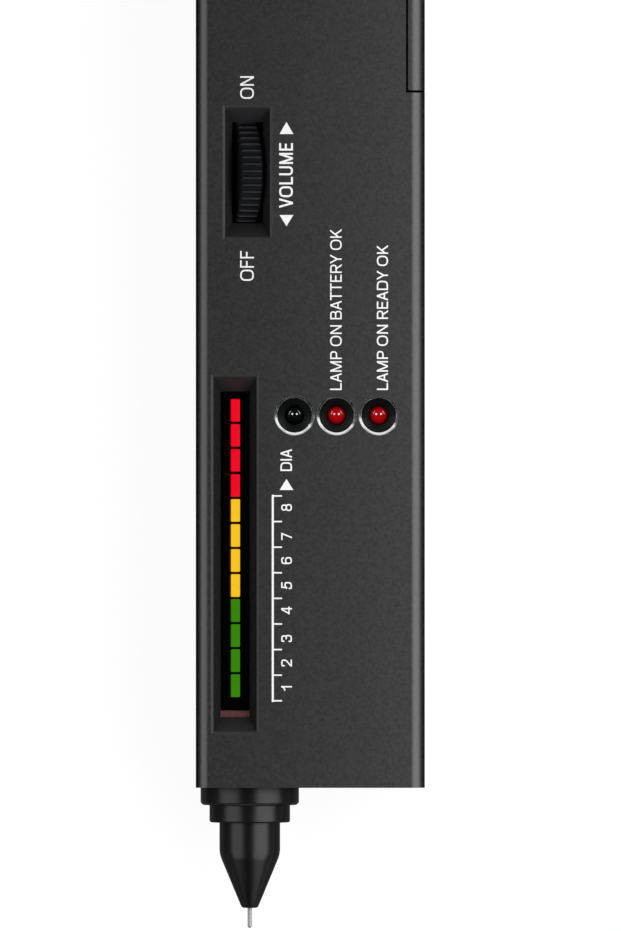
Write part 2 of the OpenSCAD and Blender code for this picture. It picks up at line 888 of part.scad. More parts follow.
module lamp_bezels() {
    r = bezel_d / 2;
    hole = lamp_d / 2 + bezel_fit;
    color("#131314")
        for (i = [0:2])
            translate([lamp_x + i * lamp_step, at(lamp_l), 0])
                rotate_extrude()
                    polygon([
                        [hole, bezel_low],
                        [r, bezel_low],
                        [r, body_t],
                        [r - bezel_bevel, body_t - bezel_bevel],
                        [hole, body_t - bezel_dish],
                    ]);
}

// one round lamp with its foot
module lamp(i) {
    translate([lamp_x + i * lamp_step, at(lamp_l), lamp_z])
        rotate_extrude() {
            domed(lamp_d / 2, lamp_h);
            square([lamp_d / 2 + lamp_flange, lamp_foot]);
        }
}

module marker_lamp() {
    color("#161617") lamp(0);
}

module battery_lamp() {
    color("#9c1010") lamp(1);
}

module ready_lamp() {
    color("#a01111") lamp(2);
}

module lamp_legs() {
    color("#c4c6c8")
        for (i = [0:2], side = [-1, 1])
            block(
                [lamp_x + i * lamp_step + side * leg_step / 2 - leg_t / 2, at(lamp_l) - leg_t / 2, board_z],
                [lamp_x + i * lamp_step + side * leg_step / 2 + leg_t / 2, at(lamp_l) + leg_t / 2, lamp_z]
            );
}

module main_board() {
    color("#7a4a32")
        difference() {
            block(
                [board_gap - in_x, at(board_l), board_z - board_t],
                [in_x - board_gap, at(board_end), board_z]
            );
            for (s = screws)
                translate([s[0], at(s[1]), 0]) cylinder(r = post_out + board_gap, h = body_t);
            for (s = screws)
                block(
                    [s[0] < 0 ? -far : s[0], at(s[1]) - post_out - board_gap, 0],
                    [s[0] < 0 ? s[0] : far, at(s[1]) + post_out + board_gap, body_t]
                );
            for (l = post_rows)
                translate([post_x, at(l), 0]) cylinder(r = pin_r + fit_gap, h = body_t);
        }
}

module board_screws() {
    color("#b9bbbd")
        for (l = post_rows)
            translate([post_x, at(l), board_z]) {
                difference() {
                    cylinder(r = pin_head_r, h = pin_head_h);
                    for (a = [0, 90])
                        rotate(a)
                            translate([-cross_l / 2, -cross_w / 2, pin_head_h / 2])
                                cube([cross_l, cross_w, pin_head_h]);
                }
                translate([0, 0, board_t - pin_l]) cylinder(r = pin_r, h = pin_l - board_t + pin_head_h / 2);
            }
}

// moves a piece onto the underside of the board
module on_board(p) {
    translate([p[0], at(board_l + p[1]), board_z - board_t])
        mirror([0, 0, 1]) children();
}

// chip with two rows of legs
module chip(legs) {
    l = legs * chip_step;
    block([-chip_w / 2, -l / 2, chip_lift], [chip_w / 2, l / 2, chip_lift + chip_h]);
    for (side = [0, 1], i = [0:legs - 1])
        mirror([side, 0, 0])
            translate([0, (i - (legs - 1) / 2) * chip_step - chip_leg / 2, 0]) {
                translate([chip_w / 2 - eps, 0, chip_lift + chip_h / 2 - chip_leg])
                    cube([(chip_span - chip_w + chip_leg) / 2 + eps, chip_leg, chip_leg]);
                translate([(chip_span - chip_leg) / 2, 0, 0])
                    cube([chip_leg, chip_leg, chip_lift + chip_h / 2]);
            }
}

module driver_chip() {
    color("#1b1b1c") on_board(driver_at) chip(driver_legs);
}

module amplifier_chip() {
    color("#1b1b1c") on_board(amp_at) chip(amp_legs);
}

module capacitors() {
    color("#20306b")
        for (p = caps_at)
            on_board(p) cylinder(r = cap_r, h = cap_h);
}

module resistors() {
    color("#b59a6a")
        for (p = res_at)
            on_board(p) {
                translate([0, res_l / 2, res_r]) rotate([90, 0, 0]) cylinder(r = res_r, h = res_l);
                translate([0, res_span / 2, res_r]) rotate([90, 0, 0]) cylinder(r = res_leg, h = res_span);
                for (side = [-1, 1])
                    translate([0, side * (res_span / 2 - res_leg), 0]) cylinder(r = res_leg, h = res_r);
            }
}

module trimmer() {
    color("#2a4f8f")
        on_board(trim_at)
            difference() {
                union() {
                    block([-trim_w / 2, -trim_w / 2, 0], [trim_w / 2, trim_w / 2, trim_h - trim_slot]);
                    cylinder(r = trim_r, h = trim_h);
                }
                block([-trim_r, -trim_slot / 2, trim_h - trim_slot], [trim_r, trim_slot / 2, trim_h + eps]);
            }
}

module buzzer() {
    color("#19191a")
        on_board(buzz_at)
            difference() {
                cylinder(r = buzz_r, h = buzz_h);
                translate([0, 0, buzz_h / 2]) cylinder(r = buzz_hole, h = buzz_h);
            }
}

// outline of the spindle with its flat
module flatted(r) {
    difference() {
        circle(r);
        translate([r - shaft_flat, -r]) square([shaft_flat + eps, 2 * r]);
    }
}

module pot_body() {
    side = 2 * pot_r;
    color("#8f9296")
        on_wheel()
            difference() {
                union() {
                    translate([-pot_r, -pot_r, pot_start]) cube([side, side, pot_plate]);
                    translate([0, 0, pot_start]) cylinder(r = pot_r, h = pot_plate + pot_l);
                }
                translate([0, 0, pot_start - eps]) cylinder(r = shaft_r + shaft_gap, h = shaft_in + 2 * eps);
            }
}

// height of the board above the leaning can's axis, at a place across the casing
function above_can(x) = max(0, board_z - wheel_z + (x - wheel_at) * tan(wheel_lean));

// half the width of the can at the height of the board
function can_reach(x) = sqrt(pow(pot_r, 2) - pow(above_can(x) * cos(wheel_lean), 2));

module pot_tags() {
    step = pot_l / tag_count;
    color("#c4c6c8")
        for (i = [0:tag_count - 1]) {
            x = pot_x + pot_plate + (i + 0.5) * step - tag_w / 2;
            block(
                [x, at(board_end - tag_lap), board_z],
                [x + tag_w, at(wheel_l - can_reach(x)), board_z + tag_t]
            );
        }
}

// points around the ribbed rim
function rim_points() = [
    for (i = [0:rib_count - 1])
        for (c = [[0.1, rib_h], [0.4, rib_h], [0.55, 0], [0.95, 0]])
            let (a = 360 * (i + c[0]) / rib_count)
            (wheel_r - c[1]) * [cos(a), sin(a)]
];

module volume_wheel() {
    half = wheel_w / 2;
    color("#1d1d1f")
        on_wheel()
            difference() {
                intersection() {
                    translate([0, 0, -half]) linear_extrude(wheel_w + hub_l) polygon(rim_points());
                    rotate_extrude()
                        polygon([
                            [0, -half],
                            [wheel_r - rim_bevel, -half],
                            [wheel_r, rim_bevel - half],
                            [wheel_r, half - rim_bevel],
                            [wheel_r - rim_bevel, half],
                            [wheel_r - 2 * rim_bevel - rib_h, half],
                            [wheel_r - 2 * rim_bevel - rib_h, half - web_in],
                            [hub_r, half - web_in],
                            [hub_r, half + hub_l],
                            [0, half + hub_l],
                        ]);
                }
                translate([0, 0, -half - eps])
                    linear_extrude(wheel_w + hub_l + 2 * eps) flatted(shaft_r + seat_gap);
            }
}

module wheel_shaft() {
    color("#b9bbbd")
        on_wheel()
            translate([0, 0, -wheel_w / 2])
                linear_extrude(pot_start + shaft_in + wheel_w / 2) flatted(shaft_r);
}

module battery() {
    color("#3a4658")
        run(cell_front, cell_front + cell_l)
            translate([-in_x, wall]) rounded(cell_w, cell_t, cell_r);
}

// moves a piece drawn along Z onto a stud, with Z turned to the front
module on_stud(side) {
    translate([cell_x + side * stud_step / 2, at(cell_front), cell_z])
        rotate([90, 0, 0]) children();
}

module battery_studs() {
    color("#c9c9c6") {
        on_stud(1) cylinder(r = stud_small, h = stud_h);
        on_stud(-1)
            difference() {
                cylinder(r = stud_large, h = stud_h);
                translate([0, 0, stud_wall]) cylinder(r = stud_large - stud_wall, h = stud_h);
            }
    }
}

module battery_snap() {
    color("#202022")
        union() {
            difference() {
                block(
                    [cell_x - cell_w / 2 + snap_in, at(cell_front - snap_t), cell_z - snap_d / 2],
                    [cell_x + cell_w / 2 - snap_in, at(cell_front), cell_z + snap_d / 2]
                );
                on_stud(1)
                    translate([0, 0, -eps]) cylinder(r = stud_small + fit_gap, h = stud_h + fit_gap + eps);
                on_stud(-1)
                    translate([0, 0, -eps]) cylinder(r = stud_large + fit_gap, h = stud_h + fit_gap + eps);
            }
            on_stud(-1)
                translate([0, 0, stud_wall + fit_gap])
                    cylinder(r = stud_large - stud_wall - fit_gap, h = stud_h - stud_wall + eps);
        }
}

// route of a battery lead from the connector to the top of the board
function lead_path(x) = smooth([
    [x, at(cell_front - snap_t), split_z],
    [x, at(bay_l), split_z],
    [x, at(bay_l - 2 * bay_wall), split_z],
    [x, at(wheel_l), split_z + lead_r],
    [x, at(board_end + lead_lap), board_z + lead_r],
    [x, at(board_end), board_z + lead_r],
    [x, at(board_end - lead_lap), board_z + lead_r],
]);

module red_lead() {
    color("#a31515") tube(lead_path(lead_x(0)), lead_r, tube_sides, [1, 0, 0]);
}

module black_lead() {
    color("#151516") tube(lead_path(lead_x(1)), lead_r, tube_sides, [1, 0, 0]);
}

module probe_collar() {
    color("#171718")
        on_probe()
            polygon([
                [spigot_r + fit_gap, -collar_l],
                [collar_r - collar_bevel, -collar_l],
                [collar_r, collar_bevel - collar_l],
                [collar_r, 0],
                [neck_r, 0],
                [neck_r, wall + fit_gap],
                [flange_r, wall + fit_gap],
                [flange_r, wall + fit_gap + flange_t],
                [tail_r, wall + fit_gap + flange_t],
                [tail_r, tail_l],
                [bore_r, tail_l],
                [bore_r, 0],
                [spigot_r + fit_gap, 0],
            ]);
}

module lock_ring() {
    color("#1a1a1b")
        on_probe()
            polygon(concat(
                [
                    [spigot_r + fit_gap, -collar_l],
                    [spigot_r + fit_gap, -nose_start],
                ],
                arc([ring_r - ring_edge, ring_edge - nose_start], ring_edge, -90, 0),
                [[ring_r, -collar_l]]
            ));
}

module nose_cone() {
    edge_mid = [tip_r - tip_edge * (1 - sin(taper_a)) / cos(taper_a), tip_edge - nose_end];
    color("#161617")
        on_probe()
            polygon(concat(
                [
                    [bore_r, -spigot_gap],
                    [bore_r, -seat_at],
                    [needle_r + needle_gap, -seat_at],
                    [needle_r + needle_gap, -nose_end],
                ],
                arc(edge_mid, tip_edge, -90, -taper_a),
                arc([nose_r - shoulder_r, -shoulder_at], shoulder_r, -taper_a, 0),
                [
                    [nose_r, -nose_start],
                    [spigot_r, -nose_start],
                    [spigot_r, -spigot_gap],
                ]
            ));
}

module probe_needle() {
    color("#d0d2d4")
        on_probe()
            translate([0, needle_in - seat_at])
                mirror([0, 1])
                    domed(needle_r, probe_out - seat_at + needle_in);
}

module needle_holder() {
    slot = needle_r + seat_gap;
    room = heater_r + seat_gap;
    color("#c8a24a")
        on_probe()
            polygon([
                [slot, -seat_at],
                [holder_r, -seat_at],
                [holder_r, -holder_back],
                [guide_r, -holder_back],
                [guide_r, guide_l - holder_back],
                [room, guide_l - holder_back],
                [room, needle_in - seat_at],
                [slot, needle_in - seat_at],
            ]);
}

module needle_heater() {
    color("#d8d3c4") on_probe() translate([0, needle_in - seat_at]) square([heater_r, heater_l]);
}

// one point on the needle spring
function coil(i) =
    let (n = turns * spring_rings, a = 360 * i / spring_rings)
    [
        probe_x + spring_r * cos(a),
        at(spring_from + (spring_to - spring_from) * i / n),
        probe_z + spring_r * sin(a),
    ];

module needle_spring() {
    color("#b4b6b8")
        tube([for (i = [0:turns * spring_rings]) coil(i)], wire_r, wire_sides, [0, 1, 0]);
}

module tail_plug() {
    color("#d5d0c2")
        on_probe()
            polygon([
                [plug_hole, plug_l],
                [plug_r, plug_l],
                [plug_r, tail_l],
                [tail_r, tail_l],
                [tail_r, tail_l + plug_flange],
                [plug_hole, tail_l + plug_flange],
            ]);
}

// route of a sensor lead from the plug to the top of the board
function sense_path(x) = smooth([
    [x, at(plug_l + plug_flange), probe_z],
    [x, at(tail_l + plug_flange), probe_z],
    [x, at(board_l - 2 * sense_r), board_z + sense_r],
    [x, at(board_l + sense_r), board_z + sense_r],
    [x, at(board_l + sense_lap), board_z + sense_r],
]);

module sensor_leads() {
    color("#9c9ea0")
        for (side = [-1, 1])
            tube(sense_path(probe_x + side * sense_step / 2), sense_r, tube_sides, [1, 0, 0]);
}

front_shell();
rear_shell();
case_screws();
battery_cover();
level_frame();
bar_plate();
green_bars();
amber_bars();
red_bars();
lamp_bezels();
marker_lamp();
battery_lamp();
ready_lamp();
lamp_legs();
main_board();
board_screws();
driver_chip();
amplifier_chip();
capacitors();
resistors();
trimmer();
buzzer();
pot_body();
pot_tags();
volume_wheel();
wheel_shaft();
battery();
battery_studs();
battery_snap();
red_lead();
black_lead();
probe_collar();
lock_ring();
nose_cone();
probe_needle();
needle_holder();
needle_heater();
needle_spring();
tail_plug();
sensor_leads();
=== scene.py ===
"""Studio scene of a bar-shaped hand tester with a sprung needle probe.

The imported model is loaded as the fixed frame. Each sub-assembly is a class that
holds its sizes in millimetres, works out its surfaces and dresses them.
"""

import json
import logging
import math
from dataclasses import dataclass, field, replace
from enum import Enum
from functools import cache
from typing import ClassVar, Protocol

import bmesh
import bpy
import numpy as np
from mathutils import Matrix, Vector


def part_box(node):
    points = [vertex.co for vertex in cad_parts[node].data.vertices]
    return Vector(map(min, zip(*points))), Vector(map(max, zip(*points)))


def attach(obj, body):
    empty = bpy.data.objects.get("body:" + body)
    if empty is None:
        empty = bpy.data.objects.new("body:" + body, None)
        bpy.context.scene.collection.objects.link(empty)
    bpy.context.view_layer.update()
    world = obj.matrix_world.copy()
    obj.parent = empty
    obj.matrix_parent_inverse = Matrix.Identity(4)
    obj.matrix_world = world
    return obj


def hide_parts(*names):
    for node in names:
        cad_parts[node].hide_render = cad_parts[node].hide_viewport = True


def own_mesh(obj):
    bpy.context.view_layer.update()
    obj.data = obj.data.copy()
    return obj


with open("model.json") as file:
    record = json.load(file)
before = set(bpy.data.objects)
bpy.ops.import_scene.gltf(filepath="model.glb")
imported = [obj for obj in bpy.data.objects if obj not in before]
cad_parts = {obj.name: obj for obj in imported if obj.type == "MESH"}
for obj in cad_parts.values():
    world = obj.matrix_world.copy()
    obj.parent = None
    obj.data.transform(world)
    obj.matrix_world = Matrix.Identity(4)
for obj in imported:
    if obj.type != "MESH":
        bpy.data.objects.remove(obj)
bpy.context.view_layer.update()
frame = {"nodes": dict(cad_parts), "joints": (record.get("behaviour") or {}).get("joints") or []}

Array = np.ndarray
Pair = tuple[float, float]
Triple = tuple[float, float, float]
Colour = tuple[float, float, float]
Inputs = dict[str, object]
Socket = bpy.types.NodeSocket

MM = 0.001
LOG = logging.getLogger("tester")
X, Y, Z = np.eye(3)
QUARTER, TURN = np.pi / 2, 2 * np.pi
ALONG_Y = [0, 2, 1]
STRAIGHT = np.ones((2, 2))
MERGE_M, DEGENERATE_M, WELD_M = 1e-8, 1e-9, 1e-7
FLAT_DEG, BEVEL_DEG = 0.6, 28
MOST_CUT, WIRE_STEPS = 0.49, 12
LEVEL, NO_NORMAL = 0.99999, 1e-6


class Ends(Enum):
    """What happens at the two ends of a carried profile."""

    CAPPED = "flat caps"
    JOINED = "the last joined to the first"
    OPEN = "left open, as on an axis"


class Kind(Enum):
    """Kinds of socket on a shader node group."""

    VALUE = "NodeSocketFloat"
    COLOUR = "NodeSocketColor"
    VECTOR = "NodeSocketVector"


class Noise(Enum):
    """Kinds of noise: the number of finer layers and their share."""

    FINE = (3, 0.6)
    MOTTLED = (4, 0.7)
    WORN = (4, 0.65)
    DRAWN = (5, 0.7)


class Cut(Enum):
    """How a letter's stroke is widened about its middle line."""

    SQUARE = "square to the line"
    SIDEWAYS = "to both sides, with level ends"
    UPWARDS = "up and down, with upright ends"


@dataclass
class Shell:
    """Surface as points in millimetres, four-sided faces and flat end caps."""

    points: Array
    quads: Array
    caps: list[Array] = field(default_factory=list)

    def repeated(self, offsets: Array) -> "Shell":
        """Repeats the shell: point i of copy k is point i plus offset k.

        Args:
            offsets: one row of X, Y and Z for each copy.

        Returns:
            One shell that holds all the copies.
        """
        start = np.arange(len(offsets)) * len(self.points)
        points = (self.points[None] + offsets[:, None]).reshape(-1, 3)
        quads = (self.quads[None] + start[:, None, None]).reshape(-1, 4)
        return Shell(points, quads, [cap + s for s in start for cap in self.caps])

    def mesh(self, name: str, crease: float = 40.0) -> bpy.types.Mesh:
        """Puts the shell into a mesh in metres, with poles merged and faces outwards.

        Args:
            name: name of the mesh.
            crease: angle in degrees above which an edge is drawn sharp.

        Returns:
            The finished mesh.
        """
        mesh = bpy.data.meshes.new(name)
        faces = self.quads.tolist() + [cap.tolist() for cap in self.caps]
        mesh.from_pydata((self.points * MM).tolist(), [], faces)
        bm = bmesh.new()
        bm.from_mesh(mesh)
        bmesh.ops.remove_doubles(bm, verts=bm.verts, dist=MERGE_M)
        bmesh.ops.dissolve_degenerate(bm, edges=bm.edges, dist=DEGENERATE_M)
        bmesh.ops.recalc_face_normals(bm, faces=bm.faces)
        bm.to_mesh(mesh)
        bm.free()
        mesh.shade_smooth()
        mesh.set_sharp_from_angle(angle=math.radians(crease))
        return mesh


def joined(shells: list[Shell]) -> Shell:
    """Puts several shells into one, with the point numbers of each moved on.

    Args:
        shells: the shells, in order.

    Returns:
        One shell that holds them all.
    """
    start = np.cumsum([0] + [len(s.points) for s in shells])
    quads = np.concatenate([s.quads + k for s, k in zip(shells, start)])
    caps = [cap + k for s, k in zip(shells, start) for cap in s.caps]
    return Shell(np.concatenate([s.points for s in shells]), quads, caps)


@dataclass(frozen=True)
class Spindle:
    """Axis that a profile is turned about: a point on it and two unit directions."""

    origin: Array
    along: Array
    across: Array

    def point(self, radius: Array, height: Array, angle: Array) -> Array:
        """Point = origin + height * along + radius * (cos angle * across + sin angle * side).

        Args:
            radius: distances from the axis.
            height: distances along it.
            angle: angles round it.

        Returns:
            One point for each of them.
        """
        side = np.cross(self.along, self.across)
        out = np.cos(angle)[..., None] * self.across + np.sin(angle)[..., None] * side
        return self.origin + height[..., None] * self.along + radius[..., None] * out


def unit(rows: Array) -> Array:
    """Scales each row to length one."""
    return rows / np.linalg.norm(rows, axis=-1, keepdims=True)


def loft(rings: Array, ends: Ends = Ends.CAPPED) -> Shell:
    """Carries closed rings into a surface: grid point (i, j) is point j of ring i.

    Args:
        rings: array of rings by points by three.
        ends: what happens at the first and the last ring.

    Returns:
        The shell.
    """
    rows, cols = rings.shape[:2]
    turn = np.arange(cols)
    low = np.arange(rows if ends is Ends.JOINED else rows - 1)[:, None] * cols
    high, ahead = (low + cols) % (rows * cols), (turn + 1) % cols
    quads = np.stack([low + turn, low + ahead, high + ahead, high + turn], -1).reshape(-1, 4)
    caps = [turn[::-1], turn + (rows - 1) * cols] if ends is Ends.CAPPED else []
    return Shell(rings.reshape(-1, 3), quads, caps)


def column(ring: Array, shrink: Array, heights: Array) -> Array:
    """Stacks a flat ring: copy i is the ring times shrink i, at height i.

    Args:
        ring: rows of two coordinates.
        shrink: factors of the two coordinates, one row for each copy.
        heights: third coordinate of each copy.

    Returns:
        Array of copies by points by three.
    """
    flat = ring * shrink[:, None]
    level = np.broadcast_to(heights[:, None, None], (*flat.shape[:2], 1))
    return np.concatenate([flat, level], -1)


def revolve(profile: Array, spindle: Spindle, steps: int, ends: Ends = Ends.JOINED) -> Shell:
    """Turns a profile about a spindle: each (radius, height) is carried round by the angle.

    Args:
        profile: rows of radius and height in millimetres.
        spindle: the axis.
        steps: number of steps in a full turn.
        ends: JOINED for a profile that is a closed loop, OPEN for one that ends on the axis.

    Returns:
        The shell of revolution.
    """
    angle = np.linspace(0, TURN, steps, endpoint=False)[None] + np.zeros((len(profile), 1))
    spread = np.ones((1, steps))
    return loft(spindle.point(profile[:, :1] * spread, profile[:, 1:] * spread, angle), ends)


def rounded(corners: object, cuts: object, steps: int = 5, loop: bool = True) -> Array:
    """Rounds the corners of an outline.

    Each corner C with neighbours A and B becomes the curve (1-t)^2 P + 2t(1-t) C + t^2 Q,
    where P and Q lie on the two sides at the cut's distance from C, or just short of the
    middle of the shorter side.

    Args:
        corners: rows of two coordinates.
        cuts: distance cut from both sides of each corner.
        steps: number of points on each rounded corner.
        loop: whether the last corner joins the first; an open outline keeps its two ends.

    Returns:
        The rounded outline.
    """
    corners = np.array(corners, float)
    before, after = np.roll(corners, 1, 0) - corners, np.roll(corners, -1, 0) - corners
    short = np.minimum(np.linalg.norm(before, axis=1), np.linalg.norm(after, axis=1))
    cut = np.minimum(np.array(cuts), short * MOST_CUT)[:, None]
    p, q = corners + unit(before) * cut, corners + unit(after) * cut
    t = np.linspace(0, 1, steps)[:, None, None]
    curve = ((1 - t) ** 2 * p + 2 * t * (1 - t) * corners + t**2 * q).transpose(1, 0, 2)
    if loop:
        return curve.reshape(-1, 2)
    return np.concatenate([corners[:1], curve[1:-1].reshape(-1, 2), corners[-1:]])


def rounded_box(width: float, height: float, radius: float, steps: int) -> Array:
    """Outline of a rectangle about the origin, with quarter circles at its corners.

    Args:
        width: size along the first coordinate.
        height: size along the second coordinate.
        radius: radius of the corners.
        steps: number of points on each corner.

    Returns:
        Rows of two coordinates, anticlockwise.
    """
    signs = np.array([[1, 1], [-1, 1], [-1, -1], [1, -1]])
    middle = signs * (np.array([width, height]) / 2 - radius)
    angle = np.linspace(0, QUARTER, steps)[None] + (np.arange(4) * QUARTER)[:, None]
    ring = np.stack([np.cos(angle), np.sin(angle)], -1) * radius
    return (middle[:, None] + ring).reshape(-1, 2)


def smooth_path(knots: Array, steps: int) -> Array:
    """Smooth curve through knots: each span blends its four nearest knots as a cubic of t.

    Args:
        knots: rows of three coordinates.
        steps: number of points on each span.

    Returns:
        Points on the curve, with the last knot at the end.
    """
    held = np.concatenate([knots[:1], knots, knots[-1:]])
    a, b, c, d = (held[i : len(held) - 3 + i][:, None] for i in range(4))
    t = np.linspace(0, 1, steps, endpoint=False)[None, :, None]
    square = (2 * a - 5 * b + 4 * c - d) * t**2 + (3 * b - a - 3 * c + d) * t**3
    return np.concatenate([(0.5 * (2 * b + (c - a) * t + square)).reshape(-1, 3), knots[-1:]])


def tube(path: Array, radius: float, sides: int, clear: Array) -> Shell:
    """Carries a circle along a path: ring i lies across the path's direction at point i.

    Args:
        path: rows of three coordinates.
        radius: radius of the tube.
        sides: number of points in a ring.
        clear: direction that the path never follows, which keeps the rings from twisting.

    Returns:
        The tube with flat ends.
    """
    along = unit(np.gradient(path, axis=0))
    first = unit(np.cross(clear, along))
    second = np.cross(along, first)
    angle = np.linspace(0, TURN, sides, endpoint=False)[None, :, None]
    ring = np.cos(angle) * first[:, None] + np.sin(angle) * second[:, None]
    return loft(path[:, None] + radius * ring)


def wire(x: float, route: tuple[Pair, ...], radius: float, sides: int) -> Shell:
    """Round wire in a plane across X, on a smooth path along its route.

    Args:
        x: place of the plane.
        route: knots as length behind the casing's front end and height.
        radius: radius of the wire.
        sides: number of points round it.

    Returns:
        The wire with flat ends.
    """
    knots = np.insert(np.array(route) + [CASE.front, 0], 0, x, axis=1)
    return tube(smooth_path(knots, WIRE_STEPS), radius, sides, X)


def corners_of(node: str) -> tuple[Array, Array, Array]:
    """Lowest corner, highest corner and middle of a node of the frame, in millimetres.

    Args:
        node: name of the node.

    Returns:
        The three points.
    """
    low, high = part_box(node)
    low, high = np.array(low) / MM, np.array(high) / MM
    return low, high, (low + high) / 2


def values(items: bpy.types.bpy_prop_collection, key: str, width: int = 3) -> Array:
    """Reads one property of all items of a mesh.

    Args:
        items: the mesh's points, faces or corners.
        key: name of the property.
        width: numbers in each item's value; a single one is a whole number.

    Returns:
        One row for each item.
    """
    read = np.empty(len(items) * width, float if width > 1 else int)
    items.foreach_get(key, read)
    return read.reshape(-1, width) if width > 1 else read


def mark(mesh: bpy.types.Mesh, name: str, shares: Array) -> None:
    """Keeps a share from 0 to 1 at each point of a mesh, for its material."""
    layer = mesh.attributes.new(name, "FLOAT", "POINT")
    layer.data.foreach_set("value", shares.astype(np.float32))


def rgba(colour: Colour) -> tuple[float, float, float, float]:
    """Adds a full alpha to a colour."""
    return (*colour, 1.0)


class NodeSheet:
    """Adds and joins nodes in one shader tree."""

    def __init__(self, tree: bpy.types.NodeTree) -> None:
        """Works on the given tree."""
        self.tree = tree

    @staticmethod
    def blank(owner: bpy.types.ID) -> "NodeSheet":
        """Gives the emptied sheet of a material or a world.

        Args:
            owner: the material or world.

        Returns:
            Its sheet.
        """
        owner.use_nodes = True
        owner.node_tree.nodes.clear()
        return NodeSheet(owner.node_tree)

    def put(self, target: Socket, value: object) -> None:
        """Joins a socket to an input, or sets a plain value on it.

        Args:
            target: the input.
            value: socket or plain value.
        """
        if isinstance(value, Socket):
            self.tree.links.new(value, target)
        else:
            target.default_value = value

    def add(self, kind: str, inputs: Inputs | None = None, **settings: object) -> bpy.types.Node:
        """Adds a node.

        Args:
            kind: the node's type name after "ShaderNode".
            inputs: sockets or plain values for its inputs.
            settings: properties to set on the node.

        Returns:
            The new node.
        """
        node = self.tree.nodes.new("ShaderNode" + kind)
        for key, value in settings.items():
            setattr(node, key, value)
        for key, value in (inputs or {}).items():
            self.put(node.inputs[key], value)
        return node

    def math(self, operation: str, *terms: object) -> Socket:
        """Adds a Math node over sockets and plain numbers.

        Args:
            operation: the node's operation.
            terms: its inputs in order.

        Returns:
            The node's output.
        """
        node = self.add("Math", operation=operation)
        for target, term in zip(node.inputs, terms):
            self.put(target, term)
        return node.outputs[0]

    def product(self, first: object, *others: object) -> Socket:
        """Multiplies several values.

        Args:
            first: first value.
            others: the values after it.

        Returns:
            Their product.
        """
        for other in others:
            first = self.math("MULTIPLY", first, other)
        return first

    def clamp(self, value: Socket) -> Socket:
        """Holds a value from 0 to 1."""
        return self.math("MINIMUM", self.math("MAXIMUM", value, 0), 1)

    def ramp(self, value: Socket, start: float, gain: float) -> Socket:
        """Rises with a gain from a start: (value - start) * gain, held from 0 to 1."""
        return self.clamp(self.product(self.math("SUBTRACT", value, start), gain))

    def axes(self, vector: Socket) -> bpy.types.bpy_prop_collection:
        """Gives a vector's X, Y and Z."""
        return self.add("SeparateXYZ", {"Vector": vector}).outputs

    def noise(self, vector: Socket, scale: object, kind: Noise) -> Socket:
        """Noise from 0 to 1 at a place, with a number of features per metre.

        Args:
            vector: the place.
            scale: the features per metre.
            kind: its layers.

        Returns:
            The noise.
        """
        detail, share = kind.value
        inputs = {"Vector": vector, "Scale": scale, "Detail": detail, "Roughness": share}
        return self.add("TexNoise", inputs, noise_dimensions="3D").outputs["Fac"]

    def spread(self, value: Socket, span: Pair, low: Socket, high: Socket) -> Socket:
        """Spreads a value's span over the range from low to high and stays within it."""
        ends = {"From Min": span[0], "From Max": span[1], "To Min": low, "To Max": high}
        return self.add("MapRange", {"Value": value, **ends}, clamp=True).outputs["Result"]

    def mix(self, share: Socket, first: object, second: object) -> Socket:
        """Blends two colours, from the first at share 0 to the second at share 1."""
        inputs = {"Factor": share, "A": first, "B": second}
        return self.add("Mix", inputs, data_type="RGBA").outputs["Result"]

    def scaled(self, vector: Socket, factor: Socket) -> Socket:
        """Multiplies a colour or vector by a number."""
        inputs = {"Vector": vector, "Scale": factor}
        return self.add("VectorMath", inputs, operation="SCALE").outputs["Vector"]


class Effect:
    """Shader node group that is built once and used in several materials."""

    KINDS: ClassVar[dict[str, Kind]] = {
        "Vector": Kind.VECTOR,
        "Normal": Kind.VECTOR,
        "Colour": Kind.COLOUR,
    }

    def __init__(self, name: str, inputs: tuple[str, ...], outputs: tuple[str, ...]) -> None:
        """Makes the empty group, whose sockets are values unless their name has another kind.

        Args:
            name: name of the group.
            inputs: names of its inputs.
            outputs: names of its outputs.
        """
        self.tree = bpy.data.node_groups.new(name, "ShaderNodeTree")
        for side, labels in (("INPUT", inputs), ("OUTPUT", outputs)):
            for label in labels:
                kind = self.KINDS.get(label, Kind.VALUE)
                self.tree.interface.new_socket(label, in_out=side, socket_type=kind.value)
        self.sheet = NodeSheet(self.tree)
        self.given = self.tree.nodes.new("NodeGroupInput").outputs
        self.result = self.tree.nodes.new("NodeGroupOutput").inputs

    def give(self, **results: Socket) -> "Effect":
        """Joins results to the group's outputs and gives the finished group.

        Args:
            results: a socket for each output.

        Returns:
            The finished group.
        """
        for label, value in results.items():
            self.sheet.put(self.result[label], value)
        return self

    def use(self, sheet: NodeSheet, **inputs: object) -> bpy.types.bpy_prop_collection:
        """Places the group in a material.

        Args:
            sheet: the material's sheet.
            inputs: sockets, numbers or colours for the inputs, with _ for a space.

        Returns:
            The placed group's outputs.
        """
        node = sheet.add("Group", node_tree=self.tree)
        for key, value in inputs.items():
            sheet.put(node.inputs[key.replace("_", " ")], value)
        return node.outputs


CELL_SHARE = -0.45
SMUDGE_SPAN = (0.3, 0.7)
# Gain, noise scale and patchiness of the painted edge highlight.
EDGE_GAIN, EDGE_PATCH, EDGE_PATCHINESS, EDGE_KEPT = 1.8, 900, 0.4, 0.75
# Each ramp is a start and a gain; depths and clearances are in metres.
SUNK, RIM_RISE, RIM_END = (0.00018, 16000), (0, 60000), (0.00024, -30000)
SIDE_CLEAR, COVER_CLEAR, FRONT_CLEAR, DEEPEST = 0.0021, 0.0134, 0.0015, 0.005
STEEP, STEEP_SHARE = (0.5, -6), -0.85
TURNED_DOWN, NOT_UPRIGHT = (0.7, -7), (0.04, 16)


